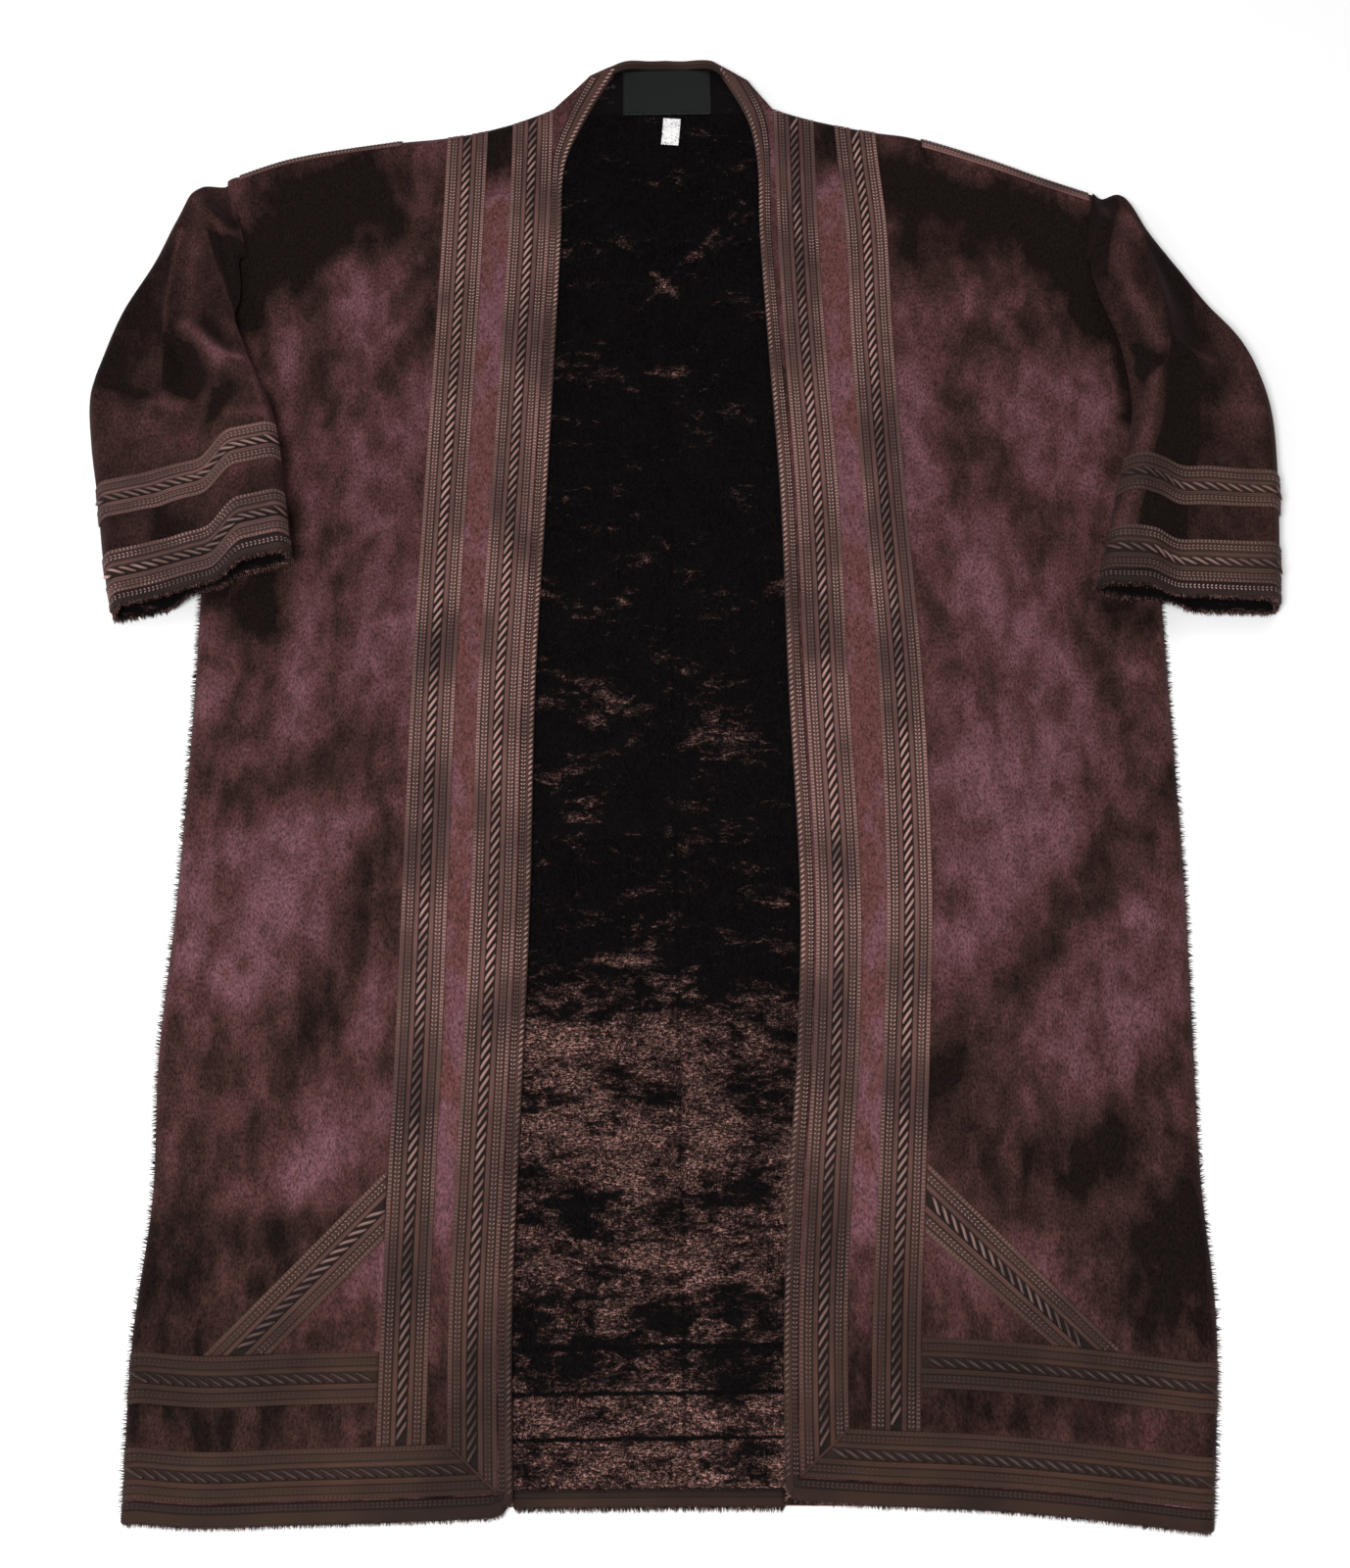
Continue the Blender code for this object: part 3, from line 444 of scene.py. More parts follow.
def back_outline(out):
    """How far down and up the back reaches, by the signed distance from the centre line."""
    far = np.abs(out)
    reaches = []
    for side, mine in (("left", out < 0.0), ("right", out >= 0.0)):
        widest = line_out(side, "side", 50.0)
        hem = BACK_HEM["middle"] + (BACK_HEM[side] - BACK_HEM["middle"]) * np.minimum(
            far / widest, 1.0)
        top = ridge_up(side, far) - BACK_INSET * ease(NECK_START - 1.0, NECK_START, far)
        reaches.append((mine, hem, top))
    hem = np.where(reaches[0][0], reaches[0][1], reaches[1][1])
    top = np.where(reaches[0][0], reaches[0][2], reaches[1][2])
    return hem, top


def rough_field(points, size, seed):
    """Even noise from -1 to 1 over places in centimetres."""
    flat = np.asarray(points).reshape(-1, 2)
    found = [noise.noise((x / size + seed, y / size - seed, seed)) for x, y in flat]
    return np.array(found).reshape(np.asarray(points).shape[:-1])


def back_place(share, rise):
    """The signed place across and up the back of a share of its width and height."""
    up = rise * 110.0
    for _ in range(3):
        left = line_out("left", "side", up) - BACK_INSET
        right = line_out("right", "side", up) - BACK_INSET
        out = np.where(share < 0.0, share * left, share * right)
        hem, top = back_outline(out)
        up = hem + rise * (top - hem)
    return out, up


def make_back():
    shares = np.concatenate([np.linspace(-1.0, -0.36, 20)[:-1],
                             np.linspace(-0.36, 0.30, BACK_SIDE_CELLS - 38),
                             np.linspace(0.30, 1.0, 20)[1:]])
    rises = np.concatenate([np.linspace(0.0, 0.1, 90)[:-1], np.linspace(0.1, 1.0, 231)])
    rise, share = np.meshgrid(rises, shares, indexing="ij")
    out, up = back_place(share, rise)
    flat = np.stack([out, up], axis=-1)
    inside = np.minimum(ease(0.0, 1.2, up - back_outline(out)[0]),
                        ease(0.0, 1.0, back_outline(out)[1] - up))
    soft = 0.035 * rough_field(flat, 0.9, 3.0) + 0.05 * rough_field(flat, 3.1, 8.0)
    sunk = sum(np.exp(-((up - line) / 0.16) ** 2) for line in PILE_LINES)
    sunk = sunk + 0.8 * np.exp(-((out - CENTRE_SEAM) / 0.14) ** 2) * ease(128.0, 96.0, up)
    high = CLOTH + 0.02 + inside * (soft - 0.10 * np.minimum(sunk, 1.0))
    upper = laid("right", out, up, high)
    lower = laid("right", out, up, np.zeros_like(out))
    piece = add_wall("back_cloth", upper, lower, [plush, suede], inner_slot=1,
                     tone_and_painted_light=lining_pile_and_sheen(out, up))
    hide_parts("back_panel")
    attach(piece, "root")
    return piece


back = make_back()

# The two fronts. Each is one width of the same cloth, suede up, laid on the back with its outer
# side and its shoulder rolled round the back's edges. Hands have left broad troughs and the nap
# lies in patches; shade in the hollows and light on the lit slopes are painted into the colour
# as well. The hem is turned in under its braids and the opening is cut straight.
HEM_ROWS = [0.0, 1.35, 1.45, 5.0, 8.1, 11.7]
PLAIN_ROWS = [18.0, 24.0, 30.0, 36.0, 42.0, 48.0, 54.0, 60.0, 66.0, 72.0, 78.0, 84.0]
SHOULDER_SHARES = [0.17, 0.34, 0.51, 0.68, 0.84, 1.0]
FLAT_ROWS = len(HEM_ROWS) + len(PLAIN_ROWS) + len(SHOULDER_SHARES) - 1
HEM_CELLS = [3, 1, 7, 6, 7, 12]
PLAIN_CELLS = 12
COLUMN_CELLS = [2, 1, 6, 3, 6, 7, 7, 7, 6, 5]
ROLL_CELLS = 8
FLAT_COLUMNS = len(COLUMN_CELLS)
WIDE_SHARES = [0.22, 0.44, 0.66, 0.84]
BINDING, NECK_BAND, GROOVE = 0.85, 1.0, 0.10
NECK_FROM, NECK_TOP = 110.0, 124.0
FLAT_OUT, ROLLED_OUT = 5.8, 9.0
FOLDS = {
    "left": [
        (26.5, 98.0, 26.0, 56.0, 2.6, 0.50), (30.8, 101.0, 30.6, 58.0, 1.8, -0.40),
        (35.0, 92.0, 34.5, 50.0, 2.4, 0.45), (36.0, 107.0, 24.0, 109.0, 3.0, -0.30),
        (22.5, 106.0, 27.0, 93.0, 2.0, -0.30), (33.0, 48.0, 27.0, 28.0, 3.0, 0.40),
        (24.5, 52.0, 25.0, 28.0, 2.2, -0.25)],
    "right": [
        (21.0, 109.0, 34.0, 101.0, 2.6, -0.35), (22.0, 103.0, 33.0, 88.0, 3.2, 0.50),
        (29.0, 86.0, 33.0, 62.0, 2.2, -0.30), (24.0, 84.0, 28.0, 60.0, 2.6, 0.35),
        (36.0, 60.0, 23.0, 46.0, 2.4, 0.55), (36.0, 54.0, 21.5, 39.0, 2.2, -0.40),
        (36.0, 46.0, 21.5, 31.0, 2.4, 0.50)],
}
FOLD_END = 4.0
LOW_TOP, LEAST_TOP = 1.15, 1.10
CLOSE_UP, LOOSE_UP = 14.0, 34.0
LOOSE_RISE, RISE_REACH = 0.40, 4.0
FOLDS_FROM, FOLDS_FULL = -3.0, 2.0


def fold_sum(folds, out, up):
    """The sum of broad folds, each a ridge or trough from one place to another."""
    total = np.zeros(np.broadcast(out, up).shape)
    for out_a, up_a, out_b, up_b, half_width, height in folds:
        run_out, run_up = out_b - out_a, up_b - up_a
        length = math.hypot(run_out, run_up)
        along = ((out - out_a) * run_out + (up - up_a) * run_up) / length
        across = ((out - out_a) * run_up - (up - up_a) * run_out) / length
        ends = ease(-FOLD_END, FOLD_END, along) * ease(-FOLD_END, FOLD_END, length - along)
        total = total + height * ends * np.exp(-(across / half_width) ** 2)
    return total


def front_top(side, out, up):
    """The height of a front's outer face."""
    loose = ease(CLOSE_UP, LOOSE_UP, up)
    past_braid = out - line_out(side, "second", up) - BRAID
    rise = LOOSE_RISE * ease(-RISE_REACH, RISE_REACH, past_braid)
    away = ease(FOLDS_FROM, FOLDS_FULL, past_braid)
    return np.maximum(LOW_TOP + loose * (rise + away * fold_sum(FOLDS[side], out, up)),
                      LEAST_TOP)


def column_lines(side, up):
    """How far out each named line of a front lies, up to where its side rolls down."""
    edge, braid = line_out(side, "edge", up), line_out(side, "braid", up)
    second = line_out(side, "second", up)
    band = BINDING + NECK_BAND * ease(NECK_FROM, NECK_TOP, up)
    flat_end = line_out(side, "side", up) - ROLL
    outer = second + BRAID
    lines = [edge, np.minimum(edge + band, braid - GROOVE), braid, braid + BRAID, second, outer]
    lines += [outer + share * (flat_end - outer) for share in WIDE_SHARES] + [flat_end]
    return np.stack(np.broadcast_arrays(*lines), axis=-1)


def stepped(values, at):
    """Straight lines between the last axis's values, read at a place counted in steps."""
    at = np.clip(at, 0.0, values.shape[-1] - 1.0)
    low = np.minimum(np.floor(at).astype(int), values.shape[-1] - 2)
    first = np.take_along_axis(values, low[..., None], axis=-1)[..., 0]
    second = np.take_along_axis(values, low[..., None] + 1, axis=-1)[..., 0]
    return first + (at - low) * (second - first)


CORNER_ROUND = {"left": 1.5, "right": 0.9}  # the hem's corner at the opening is turned round


def round_corner(side, out, up):
    """Places near the hem's corner, drawn in so that the corner is a quarter round."""
    edge, hem, size = line_out(side, "edge", up), hem_up(side, out), CORNER_ROUND[side]
    across, along = size - (out - edge), size - (up - hem)
    near = (across > 0.0) & (along > 0.0)
    pull = np.where(near, np.maximum(across, along) / np.maximum(
        np.hypot(across, along), 1.0e-9), 1.0)
    return (np.where(near, edge + size - across * pull, out),
            np.where(near, hem + size - along * pull, up))


def front_face(side, column, row, inner=False):
    """Points of a front's outer or inner face, by place in its columns and rows of lines."""
    column, row = np.broadcast_arrays(np.asarray(column, float), np.asarray(row, float))
    neck_out = stepped(column_lines(side, np.full(column.shape, NECK_TOP)), column)
    top = ridge_up(side, neck_out)
    rolled = ease(FLAT_OUT, ROLLED_OUT, neck_out)

    def rows_up(out):
        start = PLAIN_ROWS[-1]
        ups = [hem_up(side, out) + above for above in HEM_ROWS]
        ups += [np.full(out.shape, up) for up in PLAIN_ROWS]
        ups += [start + share * (top - ROLL - start) for share in SHOULDER_SHARES]
        return stepped(np.stack(ups, axis=-1), row)

    up = rows_up(neck_out)
    for _ in range(2):
        out = stepped(column_lines(side, up), column)
        up = rows_up(out)
    out, up = round_corner(side, stepped(column_lines(side, up), column), up)
    high = front_top(side, out, up)
    cloth = CLOTH if inner else 0.0
    angle = np.radians(30.0) * np.clip(row - FLAT_ROWS, 0.0, 3.0)
    over = row > FLAT_ROWS
    up = np.where(over, top - ROLL + (ROLL - cloth * rolled) * np.sin(angle), up)
    out = np.where(over, stepped(column_lines(side, np.where(over, top - ROLL
                   + ROLL * np.sin(angle), up)), column), out)
    high = (high - cloth) * (1.0 - (1.0 - np.cos(angle)) * rolled)
    turn = np.radians(30.0) * np.clip(column - FLAT_COLUMNS, 0.0, 3.0)
    out = out + (ROLL - cloth) * np.sin(turn)
    high = high * np.cos(turn)
    return laid(side, out, up, high)


def on_front(side):
    """One front's outer face, to be read by column and row."""
    return lambda column, row: front_face(side, column, row)


def steps_between(cells, rolls):
    """Places counted in lines, each gap cut into its cells, then the roll."""
    places = [0.0]
    for k, count in enumerate(cells):
        places += [k + (n + 1) / count for n in range(count)]
    places += [len(cells) + 3.0 * (n + 1) / rolls for n in range(rolls)]
    return np.array(places)


ROW_CELLS = HEM_CELLS + [PLAIN_CELLS] * (len(PLAIN_ROWS) - 1)
ROW_CELLS += [PLAIN_CELLS] * (FLAT_ROWS - len(ROW_CELLS))


# Where the suede is made darker or lighter: nap brushed one way or the other, painted shade in
# the hollows under the shoulders and beside the sleeves, and painted highlights on lit slopes
NAP_AND_PAINTED_LIGHT = {
    "left": [
        (-2.10, 4.4, [(34.9, 102.7), (27.6, 109.0)]), (-1.3, 1.0, [(36.0, 101.3), (34.5, 96.8),
                                                             (33.1, 92.4)]),
        (-0.7, 0.8, [(33.1, 92.4), (32.3, 88.1), (31.5, 83.8), (30.6, 78.9), (30.0, 75.5)]),
        (-0.30, 5.0, [(38.0, 12.0), (31.0, 14.5)]), (-0.80, 3.0, [(33.0, 110.7), (24.8, 112.6)]),
        (-1.30, 1.8, [(36.6, 104.0), (35.6, 98.0)]),
        (-0.80, 1.7, [(30.5, 99.1), (29.3, 91.4), (28.0, 82.5), (26.4, 73.1), (26.9, 68.2)]),
        (-0.90, 2.0, [(20.0, 107.7), (19.9, 96.7), (23.8, 91.7)]),
        (-0.50, 2.2, [(23.1, 86.9), (24.2, 80.2)]), (-0.60, 2.4, [(34.1, 71.1), (33.5, 65.9)]),
        (-0.35, 1.6, [(23.8, 112.2), (23.3, 102.5), (22.7, 97.9)]),
        (0.70, 1.9, [(32.8, 98.0), (31.2, 90.7), (30.3, 77.5)]),
        (0.70, 2.4, [(25.8, 102.2), (27.0, 91.4)]), (0.60, 2.4, [(21.2, 88.3), (21.4, 68.5)]),
        (0.50, 2.4, [(25.5, 83.9), (24.3, 65.1)]), (0.50, 2.4, [(28.9, 72.8), (29.4, 63.4)]),
        (-0.70, 1.6, [(36.5, 57.8), (34.8, 51.8)]),
        (-0.60, 1.9, [(25.4, 57.6), (30.9, 53.8), (33.5, 52.7)]),
        (-1.00, 2.5, [(21.1, 53.9), (23.4, 45.2), (25.8, 39.6), (28.2, 33.5), (32.7, 24.7)]),
        (-0.80, 1.1, [(34.2, 41.4), (33.1, 39.4)]), (-0.50, 1.0, [(29.8, 41.3), (30.3, 39.1)]),
        (-0.90, 2.1, [(36.2, 19.0), (31.4, 19.2), (24.6, 19.6)]),
        (-0.40, 2.4, [(36.8, 34.8), (34.4, 33.6), (35.6, 26.9)]),
        (0.80, 3.8, [(25.7, 52.5), (30.1, 47.1), (31.8, 39.1)]),
        (0.90, 2.6, [(25.4, 27.3), (29.5, 22.3)]), (0.60, 1.9, [(36.9, 40.6), (33.6, 38.6)]),
        (0.40, 2.1, [(23.4, 37.3), (24.4, 29.4)]), (-0.2, 5.0, [(39.0, 8.0), (20.0, 6.0)]),
        (0.45, 0.9, [(14.9, 6.0), (17.0, 60.0), (14.0, 112.0)])],
    "right": [
        (-2.00, 3.0, [(18.5, 111.1), (28.2, 106.9), (35.8, 103.2)]),
        (-1.7, 0.8, [(36.1, 99.0), (36.6, 96.6), (37.4, 93.2), (37.4, 89.9), (37.3, 86.5)]),
        (-0.8, 0.7, [(37.3, 86.5), (35.6, 82.0), (34.6, 78.5), (33.6, 75.0), (32.6, 70.6)]),
        (-0.5, 4.5, [(20.0, 104.0), (34.0, 98.0)]), (-1.1, 6.0, [(19.0, 28.0), (30.0, 22.0)]),
        (-1.30, 1.6, [(35.2, 103.0), (34.6, 97.0), (35.6, 92.0)]),
        (-0.70, 2.2, [(19.1, 96.1), (26.1, 94.4), (36.8, 95.8)]),
        (-0.60, 1.8, [(35.3, 101.3), (36.0, 97.3)]),
        (-0.70, 1.6, [(23.1, 87.6), (27.1, 80.2), (29.5, 74.4)]),
        (-0.50, 1.6, [(21.7, 84.3), (23.3, 79.2)]), (-0.70, 2.4, [(34.9, 68.3), (33.8, 66.3)]),
        (-0.60, 1.4, [(34.1, 61.8), (34.4, 58.4)]), (-0.50, 2.4, [(18.1, 109.9), (18.5, 105.1)]),
        (0.60, 2.4, [(20.1, 89.9), (19.3, 80.3)]), (0.45, 2.8, [(24.0, 97.1), (20.1, 96.8)]),
        (0.55, 3.2, [(29.0, 89.8), (28.1, 86.1)]), (0.70, 1.7, [(34.7, 92.7), (34.0, 80.1)]),
        (0.70, 2.8, [(25.1, 68.5), (29.2, 65.0)]), (0.60, 2.4, [(21.3, 76.7), (23.4, 70.3)]),
        (-1.00, 2.5, [(37.8, 53.8), (34.6, 48.0), (29.6, 44.0), (24.9, 38.7), (18.5, 30.0)]),
        (-0.90, 1.8, [(37.7, 33.3), (33.9, 28.8), (30.6, 24.8), (27.9, 22.0)]),
        (-0.50, 2.3, [(26.4, 24.8), (22.0, 22.4)]),
        (-0.90, 3.5, [(35.8, 16.7), (31.6, 12.3), (32.0, 10.2)]),
        (-0.50, 1.6, [(22.0, 47.1), (19.6, 43.8)]), (-0.60, 1.8, [(19.0, 11.6), (23.0, 10.9)]),
        (-0.40, 2.5, [(36.9, 25.0), (36.5, 14.3)]), (0.70, 3.1, [(23.4, 55.1), (20.8, 53.4)]),
        (0.80, 3.3, [(28.1, 49.5), (20.7, 40.8)]), (0.70, 2.9, [(35.6, 41.9), (31.1, 39.9)]),
        (0.60, 2.7, [(33.5, 34.6), (26.5, 26.4)]), (0.60, 2.9, [(27.7, 18.3), (25.8, 17.1)]),
        (0.40, 2.5, [(24.2, 28.3), (20.1, 25.2)]), (-0.45, 6.0, [(36.0, 6.0), (16.0, 6.0)]),
        (0.45, 0.9, [(12.0, 6.0), (14.3, 60.0), (13.5, 112.0)])],
}

# Patches with firmer edges: painted shade under each shoulder and under each cuff, and a darker
# patch lower on the left front.
NAP_AND_SHADE_PATCHES = {
    "left": [
        (-0.75, 2.6, [(39.0, 113.0), (25.0, 115.0), (22.0, 105.0), (27.0, 102.5), (33.0, 98.0),
                      (38.0, 93.0)]),
        (-1.6, 1.0, [(39.5, 76.0), (30.0, 80.0), (30.2, 72.0), (31.0, 67.4), (33.0, 66.6),
                     (35.6, 69.2), (39.5, 70.6)]),
        (-0.5, 1.0, [(31.0, 58.0), (21.0, 59.5), (21.0, 54.0), (27.0, 51.5), (33.0, 53.0)])],
    "right": [
        (-0.5, 2.4, [(17.5, 114.0), (28.0, 112.0), (38.0, 108.0), (37.0, 99.0), (17.5, 103.0)]),
        (-0.9, 0.9, [(39.0, 69.5), (33.2, 69.9), (34.5, 67.4), (39.0, 66.6)])],
}
LOW_SHADE = {"left": (-0.55, 22.0, 1.05), "right": (-0.5, 17.5, 1.25)}  # beyond the slanting braid
CREASE_UP, CREASE_SHADE = 20.6, -0.35       # an old fold across the left front, darker below
HEM_SHADE, STRIP_SHADE = -0.8, 1.9        # the band over the hem, the strip between the braids


def make_fronts():
    for side in ("left", "right"):
        rows = steps_between(ROW_CELLS, ROLL_CELLS)
        across = steps_between(COLUMN_CELLS, ROLL_CELLS)
        row, column = np.meshgrid(rows, across, indexing="ij")
        outer = front_face(side, column, row)
        inner = front_face(side, column, row, inner=True)
        out, up = measured(outer)
        tone_and_painted_light = stroked(NAP_AND_PAINTED_LIGHT[side], np.abs(out), up) + patched(NAP_AND_SHADE_PATCHES[side], np.abs(out), up)
        shade, start, slope = LOW_SHADE[side]
        beyond = np.abs(out) - start - (22.0 - up) * slope
        tone_and_painted_light = tone_and_painted_light + shade * ease(27.0, 15.0, up) * ease(-1.0, 1.0, beyond)
        band_up = up - hem_up(side, np.abs(out))
        tone_and_painted_light = tone_and_painted_light + HEM_SHADE * ease(4.6, 5.2, band_up) * ease(8.6, 8.0, band_up)
        strip = np.minimum(np.abs(out) - line_out(side, "braid", up) - BRAID + 0.2,
                           line_out(side, "second", up) + 0.2 - np.abs(out))
        # The strip is darker towards the hem, and near the top darker still as painted shade under
        # the shoulder's roll.
        strip_tone_and_shade = STRIP_SHADE - 3.2 * ease(30.0, 6.0, up) - 4.2 * ease(108.0, 114.5, up)
        tone_and_painted_light = np.where(strip > 0.0, strip_tone_and_shade + 0.25 * tone_and_painted_light, tone_and_painted_light)
        if side == "left":
            tone_and_painted_light = tone_and_painted_light + CREASE_SHADE * ease(CREASE_UP + 0.3, CREASE_UP - 0.3, up) * ease(
                16.0, 5.0, CREASE_UP - up) * (out < -22.0)
        piece = add_wall("front_cloth_" + side, outer, inner, [suede, plush], inner_slot=1,
                         tone_and_painted_light=tone_and_painted_light)
        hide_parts("front_" + side)
        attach(piece, "root")


make_fronts()

# The sleeves. Each is a tube of the same cloth, set into the armhole and turned down beside the
# body, so that it lies doubled with its two long edges folded. The cloth has slumped into a
# hollow under the shoulder and one crest that runs to the cuff. The cuff's mouth gapes.
SLEEVE_CLOTH = 0.45
SLEEVE_NAMES = ("in_out", "in_up", "fold_out", "fold_up", "inner", "middle", "outer",
                "inner_fall", "outer_fall")
SLEEVES = {
    "left": columns(SLEEVE_NAMES, [
        (35.6, 103.6, 37.6, 112.0, 2.1, 2.0, 1.4, 1.20, 1.30),
        (36.2, 102.8, 40.5, 110.9, 2.4, 2.4, 1.8, 1.50, 1.30),
        (36.0, 101.0, 42.0, 107.5, 2.7, 2.7, 2.1, 1.60, 1.30),
        (35.9, 98.6, 43.6, 103.1, 3.1, 2.9, 2.4, 1.60, 1.60),
        (36.1, 96.5, 45.9, 98.2, 3.6, 2.9, 2.6, 2.80, 2.80),
        (35.1, 93.4, 47.3, 93.4, 3.9, 2.8, 2.8, 2.80, 2.80),
        (34.0, 90.4, 48.0, 90.0, 4.3, 2.9, 2.9, 2.80, 2.80),
        (32.9, 87.4, 47.6, 85.8, 4.5, 3.1, 3.0, 2.80, 2.80),
        (32.1, 84.4, 46.8, 81.2, 4.7, 3.4, 3.0, 2.80, 2.80),
        (31.5, 81.0, 46.3, 77.8, 4.8, 3.6, 3.1, 2.80, 2.80),
        (31.1, 78.0, 45.8, 74.6, 4.9, 3.6, 3.2, 2.80, 2.80),
        (30.6, 74.2, 45.0, 70.8, 4.9, 3.7, 3.2, 2.80, 2.80),
        (30.4, 73.2, 44.8, 69.8, 4.8, 3.6, 3.1, 2.80, 2.80)]),
    "right": columns(SLEEVE_NAMES, [
        (34.9, 102.2, 36.2, 109.1, 2.1, 2.0, 1.4, 1.10, 1.30),
        (35.4, 101.6, 38.9, 109.0, 2.5, 2.4, 1.8, 1.20, 1.30),
        (35.4, 100.6, 40.7, 105.2, 2.8, 2.8, 2.2, 1.40, 1.30),
        (35.5, 99.2, 42.8, 101.4, 3.4, 3.0, 2.4, 1.60, 1.60),
        (35.8, 97.0, 45.2, 97.2, 3.8, 3.4, 2.6, 2.80, 2.80),
        (36.8, 93.6, 47.6, 93.3, 3.8, 3.8, 2.8, 2.80, 2.80),
        (37.3, 90.0, 48.8, 89.8, 3.8, 4.1, 2.9, 2.80, 2.80),
        (37.4, 85.6, 49.3, 86.0, 4.0, 3.9, 3.0, 2.80, 2.80),
        (36.2, 80.9, 49.1, 80.4, 4.4, 3.6, 3.1, 2.80, 2.80),
        (35.3, 77.4, 48.8, 76.9, 4.5, 3.4, 3.2, 2.80, 2.80),
        (34.5, 74.3, 48.5, 73.7, 4.6, 3.3, 3.2, 2.80, 2.80),
        (33.5, 70.6, 48.1, 69.9, 4.6, 3.3, 3.2, 2.80, 2.80),
        (33.2, 69.6, 48.0, 68.9, 4.5, 3.2, 3.1, 2.80, 2.80)]),
}
SEAM_ROW, MOUTH_ROW = -1.0, 10.92         # the armhole seam, and where the cuff's edge is rolled
SEAM_HIGH = 0.22
HEIGHT_SHARES = np.array([0.0, 0.25, 0.47, 0.8, 1.0])
FOLD_REACH, FOLD_HALF = 1.1, 0.55
EDGE_RISE, EDGE_SHARE = 0.9, 0.22         # the fold by the body stands a little off it
STEP_FROM, STEP_TO = 0.24, 0.42           # where the cloth steps down, in shares from that fold
STEPS = {"left": (1.05, -0.45), "right": (0.35, 0.0)}
SEAM_LEAD = 1.15                          # at its seam the cap follows the body's rolled edge
OVER_BODY, BESIDE_BODY = 0.06, 0.05
SLEEVE_FOLDS = {
    "left": [
        (41.4, 106.5, 41.9, 89.0, 0.9, 0.45), (37.4, 106.4, 35.6, 96.5, 1.0, -0.95),
        (39.5, 107.0, 35.3, 93.0, 0.7, 0.75), (40.4, 109.6, 36.6, 105.2, 0.7, 0.55),
        (40.6, 96.0, 36.4, 91.0, 1.0, 1.00), (41.4, 95.0, 38.4, 88.6, 1.1, -0.80),
        (38.6, 95.6, 36.0, 92.6, 0.5, -0.40), (47.0, 90.9, 42.4, 88.3, 0.5, -0.30),
        (42.6, 88.9, 39.6, 88.0, 0.7, 0.35), (36.3, 89.4, 37.6, 85.0, 1.0, -0.40),
        (36.0, 86.6, 32.6, 86.4, 0.6, 0.30), (44.0, 99.0, 46.0, 90.0, 1.6, -0.25),
        (41.9, 80.0, 40.2, 75.4, 0.9, -0.30)],
    "right": [
        (36.4, 108.0, 35.4, 101.0, 1.0, -0.55), (38.0, 107.0, 36.2, 99.0, 0.7, 0.55),
        (39.6, 105.4, 40.4, 98.5, 0.7, 0.45), (40.4, 99.5, 41.0, 91.4, 0.8, 0.75),
        (41.2, 91.4, 38.0, 86.0, 0.5, 0.55), (38.0, 92.4, 40.6, 89.9, 0.7, -0.75),
        (39.6, 88.0, 36.2, 74.5, 1.1, 0.55), (43.4, 97.0, 42.0, 84.0, 1.5, -0.75),
        (41.2, 85.0, 39.0, 72.0, 1.3, -0.60), (42.2, 92.1, 44.6, 90.4, 0.5, 0.30),
        (46.2, 94.0, 46.2, 82.0, 1.7, 0.35), (38.4, 102.0, 37.6, 97.0, 1.0, -0.20)],
}
